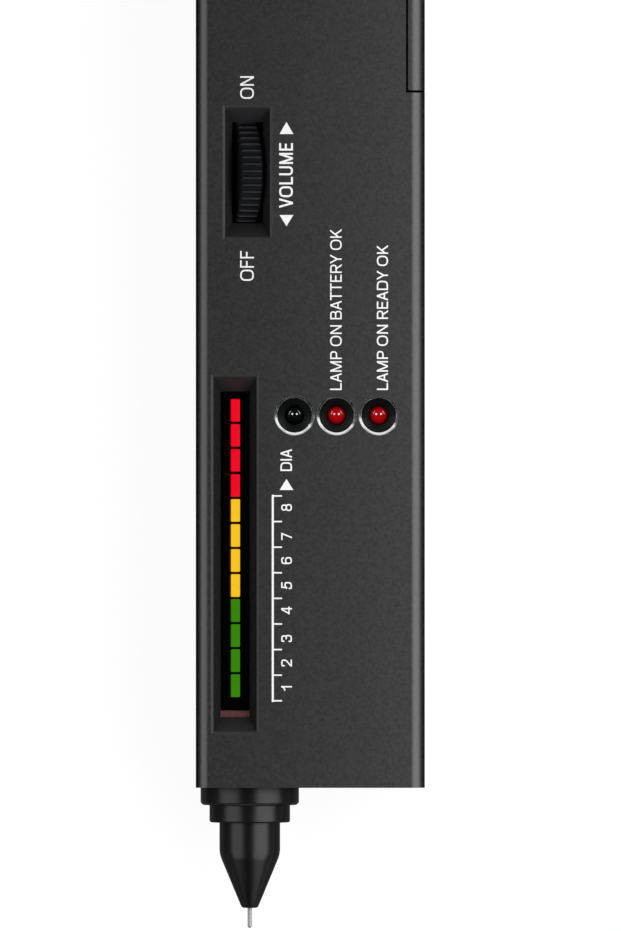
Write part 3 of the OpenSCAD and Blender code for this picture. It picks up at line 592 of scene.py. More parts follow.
def grain_effect() -> Effect:
    """Fine moulded grain: noise and cells for the height, broad noise for the mottle.

    Returns:
        The finished group.
    """
    effect = Effect("moulded_grain", ("Vector", "Grain", "Patch"), ("Height", "Mottle"))
    sheet, given = effect.sheet, effect.given
    place, grain = given["Vector"], given["Grain"]
    cells = sheet.add("TexVoronoi", {"Vector": place, "Scale": grain}, feature="F1")
    fine = sheet.noise(place, grain, Noise.FINE)
    height = sheet.math("MULTIPLY_ADD", cells.outputs["Distance"], CELL_SHARE, fine)
    return effect.give(Height=height, Mottle=sheet.noise(place, given["Patch"], Noise.MOTTLED))


def tone_effect() -> Effect:
    """Varies a colour: colour times (1 + amount * (2 * mottle - 1)).

    Returns:
        The finished group.
    """
    effect = Effect("tone_mottle", ("Colour", "Mottle", "Amount"), ("Colour",))
    sheet, given = effect.sheet, effect.given
    swing = sheet.math("MULTIPLY_ADD", given["Mottle"], 2, -1)
    factor = sheet.math("MULTIPLY_ADD", swing, given["Amount"], 1)
    return effect.give(Colour=sheet.scaled(given["Colour"], factor))


def smudge_effect() -> Effect:
    """Handled gloss: broad noise stretched between a low and a high roughness.

    Returns:
        The finished group.
    """
    effect = Effect("smudge", ("Vector", "Patch", "Low", "High"), ("Roughness",))
    sheet, given = effect.sheet, effect.given
    patch = sheet.noise(given["Vector"], given["Patch"], Noise.FINE)
    return effect.give(Roughness=sheet.spread(patch, SMUDGE_SPAN, given["Low"], given["High"]))


def streak_effect() -> Effect:
    """Drawn metal: noise stretched along one direction by the vector that it is given.

    Returns:
        The finished group.
    """
    effect = Effect("drawn_streaks", ("Vector", "Low", "High"), ("Height", "Roughness"))
    sheet, given = effect.sheet, effect.given
    lines = sheet.noise(given["Vector"], 1, Noise.DRAWN)
    rough = sheet.spread(lines, (0, 1), given["Low"], given["High"])
    return effect.give(Height=lines, Roughness=rough)


def side_inset(effect: Effect, x: Socket) -> Socket:
    """Distance of a place from the casing's nearer side: half width - |x|."""
    distance = effect.sheet.math("ABSOLUTE", x)
    return effect.sheet.math("SUBTRACT", effect.given["Half Width"], distance)


def edge_effect() -> Effect:
    """Mask of the painted highlight on the long rounded edges: a patchy band about a line set in
    from the side, where the lamps' reflection falls.

    Returns:
        The finished group.
    """
    effect = Effect("edge_highlight_painted", ("Vector", "Half Width", "Inset", "Reach"), ("Mask",))
    sheet, given = effect.sheet, effect.given
    inset = side_inset(effect, sheet.axes(given["Vector"])["X"])
    away = sheet.math("ABSOLUTE", sheet.math("SUBTRACT", inset, given["Inset"]))
    near = sheet.math("SUBTRACT", 1, sheet.math("DIVIDE", away, given["Reach"]))
    blotches = sheet.noise(given["Vector"], EDGE_PATCH, Noise.WORN)
    patchy = sheet.math("MULTIPLY_ADD", blotches, EDGE_PATCHINESS, EDGE_KEPT)
    return effect.give(Mask=sheet.clamp(sheet.product(near, EDGE_GAIN, patchy)))


def recess_effect() -> Effect:
    """Masks for painted light on the sunk walls and a painted highlight on their rims: below the
    face, away from the outer sides and the cover.

    The rim runs from just below the face to 0.24 mm down, and the wall comes in from there.
    Steep walls keep most of the body's own colour; the shallower walls, which face the lamps more,
    take the lighter painted colour.

    Returns:
        The group, with the wall and the rim as masks.
    """
    places = ("Vector", "Normal", "Half Width", "Thickness", "Front")
    effect = Effect("recess", places, ("Mask", "Rim"))
    sheet, given = effect.sheet, effect.given
    at = sheet.axes(given["Vector"])
    below = sheet.math("SUBTRACT", given["Thickness"], at["Z"])
    behind = sheet.math("SUBTRACT", at["Y"], given["Front"])
    inside = sheet.product(
        sheet.math("GREATER_THAN", side_inset(effect, at["X"]), SIDE_CLEAR),
        sheet.math("LESS_THAN", at["X"], COVER_CLEAR),
        sheet.math("GREATER_THAN", behind, FRONT_CLEAR),
        sheet.math("LESS_THAN", below, DEEPEST),
    )
    steep = sheet.ramp(sheet.axes(given["Normal"])["Z"], *STEEP)
    level = sheet.math("MULTIPLY_ADD", steep, STEEP_SHARE, 1)
    # Painted highlight band on the rims of the pockets.
    rim = sheet.product(sheet.ramp(below, *RIM_RISE), sheet.ramp(below, *RIM_END), inside)
    return effect.give(Mask=sheet.product(sheet.ramp(below, *SUNK), level, inside), Rim=rim)


def shoulder_effect() -> Effect:
    """Matt shoulders: where the surface turns from the top down to the side, by its normal.

    Returns:
        The finished group.
    """
    effect = Effect("matt_shoulder", ("Normal",), ("Mask",))
    sheet = effect.sheet
    up = sheet.axes(effect.given["Normal"])["Z"]
    band = sheet.product(sheet.ramp(up, *TURNED_DOWN), sheet.ramp(up, *NOT_UPRIGHT))
    return effect.give(Mask=band)


GRAIN = grain_effect()
TONE = tone_effect()
SMUDGE = smudge_effect()
STREAK = streak_effect()
PAINTED_EDGE_HIGHLIGHT = edge_effect()
PAINTED_RECESS_LIGHT = recess_effect()
SHOULDER = shoulder_effect()


class Bench:
    """New material with its sheet, its main shader and its place coordinates."""

    def __init__(self, name: str) -> None:
        """Makes the material with its bare shader.

        Args:
            name: name of the material.
        """
        self.made = bpy.data.materials.new(name)
        self.sheet = NodeSheet.blank(self.made)
        self.shader = self.sheet.add("BsdfPrincipled")
        self.sheet.add("OutputMaterial", {"Surface": self.shader.outputs[0]})
        coordinates = self.sheet.add("TexCoord").outputs
        self.place, self.normal = coordinates["Object"], coordinates["Normal"]

    def put(self, **inputs: object) -> None:
        """Feeds varying or plain values to the shader's own sockets, with _ for a space."""
        for key, value in inputs.items():
            self.sheet.put(self.shader.inputs[key.replace("_", " ")], value)

    def bump(self, height: Socket, depth: float) -> None:
        """Turns a height from 0 to 1 into a normal, with a depth in metres."""
        inputs = {"Strength": 1.0, "Distance": depth, "Height": height}
        self.put(Normal=self.sheet.add("Bump", inputs).outputs["Normal"])

    def marked(self, name: str) -> Socket:
        """Shares that are kept at the points of the mesh."""
        node = self.sheet.add("Attribute", attribute_type="GEOMETRY", attribute_name=name)
        return node.outputs["Fac"]

    def mottled(self, colour: object, mottle: Socket, amount: float) -> Socket:
        """Colour that varies with the mottle."""
        return TONE.use(self.sheet, Colour=colour, Mottle=mottle, Amount=amount)["Colour"]


class Finish(Protocol):
    """Anything that can give a material."""

    name: str

    def material(self) -> bpy.types.Material:
        """Gives the finish as a material."""


@dataclass(frozen=True)
class Grained:
    """Moulded plastic, vinyl or ink: grained, mottled and unevenly handled."""

    name: str
    colour: Colour
    gloss: Pair = (0.42, 0.56)
    grain: float = 5200.0
    grain_depth: float = 0.000012
    patch: float = 1500.0
    handled: float = 0.0
    mottle: float = 0.2
    specular: float = 0.35
    coat: float = 0.0
    coat_rough: float = 0.06
    coat_ior: float = 1.5
    patches_handled: ClassVar[int] = 12

    def material(self) -> bpy.types.Material:
        """Gives the finish as a material.

        Returns:
            The material, with handled patches as broad as twelve mottled ones unless it is told.
        """
        bench = Bench(self.name)
        sheet, (low, high) = bench.sheet, self.gloss
        grain = GRAIN.use(sheet, Vector=bench.place, Grain=self.grain, Patch=self.patch)
        handled = self.handled or self.patch / self.patches_handled
        rough = SMUDGE.use(sheet, Vector=bench.place, Patch=handled, Low=low, High=high)
        bench.put(Specular_IOR_Level=self.specular, Coat_Weight=self.coat)
        bench.put(Coat_Roughness=self.coat_rough, Coat_IOR=self.coat_ior)
        self.paint(bench, grain["Mottle"], rough["Roughness"])
        if self.grain_depth:
            bench.bump(grain["Height"], self.grain_depth)
        return bench.made

    def paint(self, bench: Bench, mottle: Socket, rough: Socket) -> None:
        """Feeds the mottled colour and the roughness."""
        tone = bench.mottled(rgba(self.colour), mottle, self.mottle)
        bench.put(Base_Color=tone, Roughness=rough)


@dataclass(frozen=True)
class Skinned(Grained):
    """Plastic with an uneven skin that is matt on its shoulders; a casing has a painted highlight
    along its long edges and painted light on its sunk walls and their rims too.
    """

    skin: float = 0.34
    matt: float = 1.0
    edge_inset: float = 1.15
    edge_reach: float = 0.0
    # Painted highlight: lighter colour along the long rounded edges.
    edge_colour: Colour = (0.027, 0.027, 0.0276)
    # Painted light on the shallower sunk walls, and a painted highlight on the pocket rims.
    recess_colour: Colour = (0.0188, 0.0188, 0.0194)
    rim_colour: Colour = (0.0285, 0.0285, 0.0292)
    rim_matt: float = 0.75

    def paint(self, bench: Bench, mottle: Socket, rough: Socket) -> None:
        """Feeds the colour with its painted edge highlight, the painted light on its sunk walls
        and rims, and the skin.

        Args:
            bench: the material.
            mottle: mottle from 0 to 1.
            rough: roughness below the skin.
        """
        sheet = bench.sheet
        tone = bench.mottled(rgba(self.colour), mottle, self.mottle)
        bare = sheet.product(SHOULDER.use(sheet, Normal=bench.normal)["Mask"], self.matt)
        if self.edge_reach:
            case = {"Vector": bench.place, "Half_Width": CASE.half_w * MM}
            band = {"Inset": self.edge_inset * MM, "Reach": self.edge_reach * MM}
            face = {"Thickness": CASE.thick * MM, "Front": CASE.front * MM}
            edge = PAINTED_EDGE_HIGHLIGHT.use(sheet, **case, **band)["Mask"]
            sunk = PAINTED_RECESS_LIGHT.use(sheet, **case, **face, Normal=bench.normal)
            # Painted highlight along the long edges.
            tone = sheet.mix(edge, tone, rgba(self.edge_colour))
            # Painted light on the shallower sunk walls and a painted highlight on the pocket rims.
            tone = sheet.mix(sunk["Mask"], tone, rgba(self.recess_colour))
            tone = sheet.mix(sunk["Rim"], tone, rgba(self.rim_colour))
            bare = sheet.math("MAXIMUM", bare, sheet.product(sunk["Rim"], self.rim_matt))
        skin = sheet.math("MULTIPLY_ADD", mottle, self.skin, self.coat - self.skin / 2)
        coat = sheet.product(sheet.math("SUBTRACT", 1, bare), skin)
        bench.put(Base_Color=tone, Roughness=rough, Coat_Weight=coat)


@dataclass(frozen=True)
class Glowing(Grained):
    """Light bar that glows evenly, or a lens whose glow and colour fade to its rim by the mesh's
    glow values; the darker colour at the rim is painted shade.
    """

    glow: Colour = (0.0, 0.0, 0.0)
    fades: bool = False

    def paint(self, bench: Bench, mottle: Socket, rough: Socket) -> None:
        """Feeds the colour and the glow.

        Args:
            bench: the material.
            mottle: mottle of the diffuser from 0 to 1.
            rough: roughness.
        """
        tones = [bench.mottled(rgba(c), mottle, self.mottle) for c in (self.colour, self.glow)]
        # Painted shade: the lens's colour darkens towards its rim along with its glow.
        if self.fades:
            fade = bench.marked("glow")
            tones = [bench.sheet.scaled(tone, fade) for tone in tones]
        bench.put(Base_Color=tones[0], Emission_Color=tones[1])
        bench.put(Emission_Strength=1.0, Roughness=rough)


@dataclass(frozen=True)
class Marked(Grained):
    """Plastic with a second, smoother colour where the mesh's own shares mark it."""

    marks: str = ""
    marked: Colour = (0.0, 0.0, 0.0)
    smoother: float = 0.0
    metallic: bool = False

    def paint(self, bench: Bench, mottle: Socket, rough: Socket) -> None:
        """Feeds the two colours and the roughness by the mesh's shares.

        Args:
            bench: the material.
            mottle: mottle from 0 to 1.
            rough: roughness outside the marks.
        """
        sheet, share = bench.sheet, bench.marked(self.marks)
        both = sheet.mix(share, rgba(self.colour), rgba(self.marked))
        bench.put(Base_Color=bench.mottled(both, mottle, self.mottle))
        bench.put(Roughness=sheet.math("MULTIPLY_ADD", share, -self.smoother, rough))
        if self.metallic:
            bench.put(Metallic=share)


@dataclass(frozen=True)
class Streaked:
    """Drawn metal or pressed laminate with streaks, and a pale band if it is given one."""

    name: str
    colour: Colour
    gloss: Pair = (0.22, 0.42)
    streaks: Triple = (9000.0, 300.0, 9000.0)  # per metre along X, Y and Z
    depth: float = 0.000002
    mottle: float = 0.1
    metal: float = 1.0
    specular: float = 0.5
    coat: float = 0.0
    coat_rough: float = 0.03
    band: tuple[float, ...] = ()
    band_colour: Colour = (0.0, 0.0, 0.0)

    def material(self) -> bpy.types.Material:
        """Gives the finish as a material.

        Returns:
            The material, with its band from one Y in millimetres to another.
        """
        bench = Bench(self.name)
        sheet, colour, (low, high) = bench.sheet, rgba(self.colour), self.gloss
        place = sheet.add("Mapping", {"Vector": bench.place, "Scale": self.streaks})
        drawn = STREAK.use(sheet, Vector=place.outputs["Vector"], Low=low, High=high)
        if self.band:
            y = sheet.axes(bench.place)["Y"]
            start = sheet.math("GREATER_THAN", y, self.band[0] * MM)
            stop = sheet.math("LESS_THAN", y, self.band[1] * MM)
            colour = sheet.mix(sheet.product(start, stop), colour, rgba(self.band_colour))
        bench.put(Base_Color=bench.mottled(colour, drawn["Height"], self.mottle))
        bench.put(Roughness=drawn["Roughness"], Metallic=self.metal)
        bench.put(Specular_IOR_Level=self.specular)
        bench.put(Coat_Weight=self.coat, Coat_Roughness=self.coat_rough)
        bench.bump(drawn["Height"], self.depth)
        return bench.made


@dataclass(frozen=True)
class Layout:
    """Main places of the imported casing, in millimetres."""

    half_w: float
    thick: float
    front: float

    @staticmethod
    def read() -> "Layout":
        """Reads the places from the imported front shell."""
        low, high, _ = corners_of("front_shell")
        return Layout(float(high[0]), float(high[2]), float(low[1]))

    def at(self, length: float) -> float:
        """Y of a point at a length behind the casing's front end."""
        return self.front + length


CASE = Layout.read()


@cache
def material_of(finish: Finish) -> bpy.types.Material:
    """Material of a finish, made once."""
    return finish.material()


def paint(mesh: bpy.types.Mesh, finish: Finish) -> None:
    """Gives a mesh the material of a finish and no other."""
    mesh.materials.clear()
    mesh.materials.append(material_of(finish))


def linked(name: str, data: bpy.types.ID) -> bpy.types.Object:
    """Puts a new object into the scene.

    Args:
        name: name of the object.
        data: its mesh, lamp or camera.

    Returns:
        The object.
    """
    made = bpy.data.objects.new(name, data)
    bpy.context.scene.collection.objects.link(made)
    return made


def place(
    name: str,
    mesh: bpy.types.Mesh,
    finish: Finish,
    body: str,
    slot: str = "",
    stands_for: tuple[str, ...] = (),
) -> bpy.types.Object:
    """Puts a finished mesh into the scene and ties it to the frame.

    Args:
        name: name of the piece.
        mesh: its mesh, in place, in metres.
        finish: its finish.
        body: body of the frame that it moves with.
        slot: the record's slot; not used.
        stands_for: nodes of the frame that it replaces.

    Returns:
        The placed piece.
    """
    piece = linked(name, mesh)
    paint(mesh, finish)
    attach(piece, body)
    if stands_for:
        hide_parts(*stands_for)
    LOG.info("%s on %s: %d faces", name, body, len(mesh.polygons))
    return piece


def softened(
    name: str, node: str, finish: Finish, body: str, slot: str, width: float
) -> bpy.types.Object:
    """Copies a node's mesh, merges it and softens its sharp edges.

    Args:
        name: name of the piece.
        node: node of the frame that is copied and replaced.
        finish: finish of the piece.
        body: body that it moves with.
        slot: the record's slot.
        width: width of the softened edges in millimetres.

    Returns:
        The placed piece.
    """
    mesh = frame["nodes"][node].data.copy()
    bm = bmesh.new()
    bm.from_mesh(mesh)
    bmesh.ops.remove_doubles(bm, verts=bm.verts, dist=WELD_M)
    flat = math.radians(FLAT_DEG)
    bmesh.ops.dissolve_limit(bm, angle_limit=flat, verts=bm.verts, edges=bm.edges)
    bm.to_mesh(mesh)
    bm.free()
    mesh.shade_smooth()
    piece = place(name, mesh, finish, body, slot, (node,))
    bevel = piece.modifiers.new("soft_edges", "BEVEL")
    bevel.width = width * MM
    bevel.segments = 2
    bevel.limit_method = "ANGLE"
    bevel.angle_limit = math.radians(BEVEL_DEG)
    bevel.use_clamp_overlap = True
    level = piece.modifiers.new("flat_faces", "WEIGHTED_NORMAL")
    level.mode = "FACE_AREA"
    level.keep_sharp = True
    return piece


def settled(piece: bpy.types.Object, tall: float = 1.0) -> None:
    """Applies a piece's modifiers and sets its normals: even on flat faces, smooth between.

    A face is flat where its normal lies along X, Y or Z or where it is tall. A corner of a flat
    face takes that face's normal. Any other corner takes the sum of the flat normals at its
    point, or the mean normal there if no flat face meets it.

    Args:
        piece: the piece, with its modifiers.
        tall: height in millimetres from which a face is flat.
    """
    shaped = piece.evaluated_get(bpy.context.evaluated_depsgraph_get())
    mesh = bpy.data.meshes.new_from_object(shaped)
    piece.modifiers.clear()
    piece.data = mesh
    mesh.name = piece.name
    normals, sides = values(mesh.vertices, "normal"), values(mesh.polygons, "normal")
    first, count = (values(mesh.polygons, k, 1) for k in ("loop_start", "loop_total"))
    vertex = values(mesh.loops, "vertex_index", 1)
    z = values(mesh.vertices, "co")[vertex, 2] / MM
    height = np.maximum.reduceat(z, first) - np.minimum.reduceat(z, first)
    owner = np.repeat(np.arange(len(sides)), count)
    on_flat = ((np.abs(sides).max(1) > LEVEL) | (height > tall))[owner]
    held = np.zeros((len(mesh.vertices), 3))
    np.add.at(held, vertex[on_flat], sides[owner[on_flat]])
    size = np.linalg.norm(held, axis=1, keepdims=True)
    meeting = np.where(size > NO_NORMAL, held / np.maximum(size, NO_NORMAL), normals)
    corners = np.where(on_flat[:, None], sides[owner], meeting[vertex])
    mesh.normals_split_custom_set(corners.tolist())


def dress(**finishes: Finish) -> None:
    """Gives nodes of the frame that stay as they are their finishes.

    Args:
        finishes: finish of each node, by the node's name.
    """
    for node, finish in finishes.items():
        paint(frame["nodes"][node].data, finish)
        LOG.info("%s dressed as %s", node, finish.name)


CASE_BLACK = Skinned(
    "case_black", (0.0108, 0.0108, 0.011), gloss=(0.33, 0.45), patch=2200.0, mottle=1.9,
    specular=0.0, coat=0.9, coat_rough=0.37, coat_ior=1.7, edge_reach=0.7,
)
COVER_BLACK = replace(CASE_BLACK, name="cover_black")
PROBE_BLACK = Skinned(
    "probe_black", (0.0035, 0.0035, 0.0036), gloss=(0.27, 0.33), grain=7000.0,
    grain_depth=0.000004, specular=0.0, coat=0.8, coat_rough=0.3, skin=0.1, matt=0.85,
)
# Near-black of the level display's mask, also used as painted shade on the rib in the cover's
# seam.
BLACK_MASK_AND_SEAM_SHADE = Grained(
    "mask_black", (0.0004, 0.0004, 0.0004), (0.75, 0.9), specular=0.02, mottle=0.3
)
BEZEL_BLACK = Marked(
    "bezel_black", (0.0014, 0.0018, 0.0017), (0.39, 0.43), 6000.0, 0.0000004, handled=900.0,
    mottle=0.12, specular=0.08, marks="cut", marked=(0.93, 0.935, 0.94), smoother=0.2,
    metallic=True,
)
# The lighter colour marked on the rib crests is a painted highlight.
WHEEL_BLACK = Marked(
    "wheel_black", (0.0059, 0.0062, 0.0078), (0.67, 0.81), grain_depth=0.000006, patch=1200.0,
    mottle=0.3, specular=0.05, marks="crest", marked=(0.0323, 0.0327, 0.0353), smoother=0.25,
)
SNAP_BLACK = Grained("snap_black", (0.014, 0.014, 0.015), (0.4, 0.55), grain_depth=0.000008)
CHIP_BLACK = Grained("chip_black", (0.012, 0.012, 0.013), (0.55, 0.7), 9000.0)
SLEEVE_BLUE = Grained(
    "sleeve_blue", (0.012, 0.03, 0.16), (0.2, 0.3), grain_depth=0.000003, coat=0.3
)
RESISTOR_TAN = Grained("resistor_tan", (0.5, 0.36, 0.17), (0.35, 0.5), grain_depth=0.000006)
LEAD_RED = Grained("lead_red", (0.32, 0.008, 0.008), (0.34, 0.46), grain_depth=0.000004)
LEAD_BLACK = replace(LEAD_RED, name="lead_black", colour=(0.01, 0.01, 0.0105))
PLUG_NYLON = Grained("plug_nylon", (0.66, 0.62, 0.52), (0.36, 0.5), mottle=0.08)
HEATER_WHITE = Grained("heater_white", (0.72, 0.69, 0.58), (0.6, 0.75), mottle=0.1)
INK_WHITE = Grained(
    "ink_white", (0.81, 0.81, 0.81), (0.5, 0.65), 7000.0, 0.000004, 2600.0, 900.0, 0.07, 0.3
)
BAR_GREEN = Glowing(
    "bar_green", (0.008, 0.05, 0.0005), (0.3, 0.45), 6000.0, 0.000002, 900.0, 700.0, 0.06, 0.1,
    glow=(0.03, 0.188, 0.0016),
)
BAR_AMBER = replace(
    BAR_GREEN, name="bar_amber", colour=(0.2, 0.11, 0.004), glow=(0.79, 0.46, 0.0125)
)
BAR_RED = replace(
    BAR_GREEN, name="bar_red", colour=(0.2, 0.001, 0.004), glow=(0.72, 0.0002, 0.0135)
)
LAMP_DARK = Glowing(
    "lamp_dark", (0.0012, 0.0012, 0.0013), (0.05, 0.09), 2500.0, 0.0, 1200.0, 800.0, 0.12, 0.1,
    coat=0.17, coat_rough=0.03, fades=True,
)
LAMP_RED = replace(
    LAMP_DARK, name="lamp_red", colour=(0.03, 0.0006, 0.001), glow=(0.28, 0.0006, 0.0018)
)
PHENOLIC = Streaked(
    "phenolic_brown", (0.24, 0.0905, 0.0885), (0.45, 0.65), (5200.0, 700.0, 5200.0), 0.000004,
    mottle=0.45, metal=0.0, specular=0.35,
)
JACKET = Streaked(
    "battery_jacket", (0.045, 0.06, 0.09), (0.26, 0.4), (2500.0, 120.0, 2500.0), 0.0000015,
    mottle=0.15, metal=0.55, coat=0.3, coat_rough=0.15, band_colour=(0.5, 0.51, 0.52),
)
TINNED = Streaked("tinned_wire", (0.7, 0.71, 0.72), (0.25, 0.45))
SCREW_STEEL = Streaked("screw_steel", (0.42, 0.43, 0.44), streaks=(6000.0, 6000.0, 900.0))
POT_CAN = Streaked("pot_can", (0.5, 0.51, 0.53))
STUD_PLATE = Streaked("stud_plate", (0.75, 0.75, 0.73), (0.12, 0.26), (5000.0, 700.0, 5000.0))
NEEDLE_STEEL = Streaked("needle_steel", (0.4, 0.4, 0.41), (0.5, 0.62), (14000.0, 500.0, 14000.0))
HOLDER_BRASS = Streaked("holder_brass", (0.6, 0.4, 0.12))
SPRING_STEEL = Streaked("spring_steel", (0.55, 0.56, 0.57))


@dataclass
class Casing:
    """The two shells, their screws, the sliding cover and the rib in the cover's front seam, whose
    near-black paints the seam's shade.
    """

    edge: float = 0.1
    screw_edge: float = 0.12
    seam: float = 0.3
    seam_slack: float = 0.03
    rib_x: Pair = (13.77, 16.49)
    rib_z: Pair = (1.4, 20.6)
    rib_r: float = 0.8
    rib_steps: int = 5

    def rib(self) -> Shell:
        """Rib that closes the seam and shows near-black in it as painted shade: a rounded
        rectangle carried along Y.

        Returns:
            The rib with flat ends.
        """
        low = corners_of("battery_cover")[0]
        size = np.ptp(self.rib_x), np.ptp(self.rib_z)
        ring = rounded_box(*size, self.rib_r, self.rib_steps)
        ring = ring + [np.mean(self.rib_x), np.mean(self.rib_z)]
        ends = low[1] - np.array([self.seam, self.seam_slack])
        return loft(column(ring, STRAIGHT, ends)[..., ALONG_Y])

    def build(self) -> None:
        """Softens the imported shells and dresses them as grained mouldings."""
        for name, node, finish, body in (
            ("casing_face", "front_shell", CASE_BLACK, "casing"),
            ("casing_back", "rear_shell", CASE_BLACK, "casing"),
            ("cover_leaf", "battery_cover", COVER_BLACK, "cover"),
        ):
            settled(softened(name, node, finish, body, "case_black", self.edge))
        width = self.screw_edge
        softened("back_screws", "case_screws", SCREW_STEEL, "casing", "screw_steel", width)
        # Painted shade: the rib is near-black so that the seam shows dark.
        mesh = self.rib().mesh("seam_shade_rib", crease=30)
        place("seam_shade_rib", mesh, BLACK_MASK_AND_SEAM_SHADE, "casing", "mask_black")


@dataclass(frozen=True)
class Stroke:
    """Middle line of a letter's stroke in the letter's box, from 0 to 1 across and up."""

    line: tuple[Pair, ...]
    cut: Cut = Cut.SQUARE
    loop: bool = False


def slant(x0: float, y0: float, x1: float, y1: float) -> Stroke:
    """Straight upright or slanted stroke with level ends."""
    return Stroke(((x0, y0), (x1, y1)), Cut.SIDEWAYS)


def stem(x: float, low: float = 0.0, high: float = 1.0) -> Stroke:
    """Upright stroke."""
    return slant(x, low, x, high)


def bar(y: float, left: float = 0.0, right: float = 1.0) -> Stroke:
    """Level stroke with upright ends."""
    return Stroke(((left, y), (right, y)), Cut.UPWARDS)


def bow(*line: Pair) -> Stroke:
    """Open stroke that is rounded at its corners."""
    return Stroke(line)


def bowl(low: float, high: float, right: float = 1.0) -> Stroke:
    """Round side of a letter such as D, from its stem and back."""
    return bow((0, high), (right, high), (right, low), (0, low))


def hoop(low: float, high: float, left: float = 0.0, right: float = 1.0) -> Stroke:
    """Closed round stroke such as that of an O."""
    return Stroke(((left, low), (right, low), (right, high), (left, high)), loop=True)


class Letter:
    """Width of a letter, the space on its two sides and its strokes, per unit of height."""

    def __init__(self, width: float, space: Pair, *strokes: Stroke) -> None:
        """Keeps the letter's measures."""
        self.width, self.space, self.strokes = width, space, strokes


EVEN = (0.1, 0.1)
LETTERS: dict[str, Letter] = {
    " ": Letter(0.34, (0.0, 0.0)),
    "A": Letter(0.84, (0.02, 0.02), slant(0, 0, 0.5, 1), slant(0.5, 1, 1, 0), bar(0.3, 0.2, 0.8)),
    "B": Letter(0.78, (0.1, 0.06), stem(0), bowl(0.53, 1, 0.93), bowl(0, 0.53)),
    "D": Letter(0.84, (0.1, 0.07), stem(0), bowl(0, 1)),
    "E": Letter(0.65, (0.1, 0.07), stem(0), bar(0), bar(0.52, 0, 0.92), bar(1)),
    "F": Letter(0.62, (0.1, 0.06), stem(0), bar(0.52, 0, 0.9), bar(1)),
    "I": Letter(0.0, EVEN, stem(0.5)),
    "K": Letter(0.8, (0.1, 0.02), stem(0), slant(0, 0.28, 0.92, 1), slant(0.36, 0.56, 1, 0)),
    "L": Letter(0.64, (0.1, 0.05), stem(0), bar(0)),
    "M": Letter(0.96, EVEN, stem(0), slant(0, 1, 0.5, 0), slant(0.5, 0, 1, 1), stem(1)),
    "N": Letter(0.8, EVEN, stem(0), slant(0, 1, 1, 0), stem(1)),
    "O": Letter(0.94, (0.07, 0.07), hoop(0, 1)),
    "P": Letter(0.72, (0.1, 0.05), stem(0), bowl(0.45, 1)),
    "R": Letter(0.8, (0.1, 0.03), stem(0), bowl(0.48, 1, 0.93), slant(0.48, 0.48, 1, 0)),
    "T": Letter(0.74, (0.03, 0.03), stem(0.5), bar(1)),
    "U": Letter(0.78, EVEN, bow((0, 1), (0, 0), (1, 0), (1, 1))),
    "V": Letter(0.84, (0.02, 0.02), slant(0, 1, 0.5, 0), slant(0.5, 0, 1, 1)),
    "Y": Letter(
        0.84, (0.01, 0.01), stem(0.5, 0, 0.5), slant(0.5, 0.38, 0, 1), slant(0.5, 0.38, 1, 1)
    ),
    "1": Letter(0.46, EVEN, stem(1), bow((1, 0.98), (0.7, 0.78), (0.12, 0.7))),
    "2": Letter(
        0.66, EVEN,
        bow((0.02, 0.76), (0.02, 1), (1, 1), (1, 0.56), (0.08, 0.1), (0.08, 0)), bar(0),
    ),
    "3": Letter(
        0.66, EVEN,
        bow((0.02, 0.82), (0.02, 1), (0.94, 1), (0.94, 0.54), (0.5, 0.54)),
        bow((0.5, 0.54), (1, 0.54), (1, 0), (0, 0), (0, 0.2)),
    ),
    "4": Letter(0.72, EVEN, stem(0.78), slant(0, 0.26, 0.72, 1), bar(0.24)),
    "5": Letter(
        0.66, EVEN, bar(1, 0.16, 0.96), slant(0.1, 0.44, 0.24, 1),
        bow((0.06, 0.5), (0.4, 0.66), (1, 0.66), (1, 0), (0, 0), (0, 0.2)),
    ),
    "6": Letter(0.66, EVEN, hoop(0, 0.6), bow((0.96, 0.84), (0.9, 1), (0, 1), (0, 0.3))),
    "7": Letter(0.66, EVEN, bar(1), slant(0.3, 0, 1, 0.92)),
    "8": Letter(0.66, EVEN, hoop(0, 0.53), hoop(0.53, 1, 0.07, 0.93)),
}


@dataclass(frozen=True)
class Line:
    """One printed line: its text, its box on the face and the width of its strokes."""

    text: str
    across: Pair
    along: Pair
    weight: float

    @property
    def height(self) -> float:
        """Height of the letters."""
        return self.across[1] - self.across[0]

    def places(self) -> list[tuple[Letter, float, float]]:
        """Stretches the letters so that the line fills its box.

        Returns:
            Each letter with its start and its width.
        """
        letters = [LETTERS[c] for c in self.text]
        least = self.weight / self.height
        bare = [max(t.width, least) if t.strokes else t.width for t in letters]
        ends = np.cumsum([t.space[0] + w + t.space[1] for t, w in zip(letters, bare)])
        first, last = letters[0].space[0], ends[-1] - letters[-1].space[1]
        stretch = (self.along[1] - self.along[0]) / (last - first)
        starts = [e - w - t.space[1] - first for t, w, e in zip(letters, bare, ends)]
        return [(t, s * stretch, w * stretch) for t, s, w in zip(letters, starts, bare)]


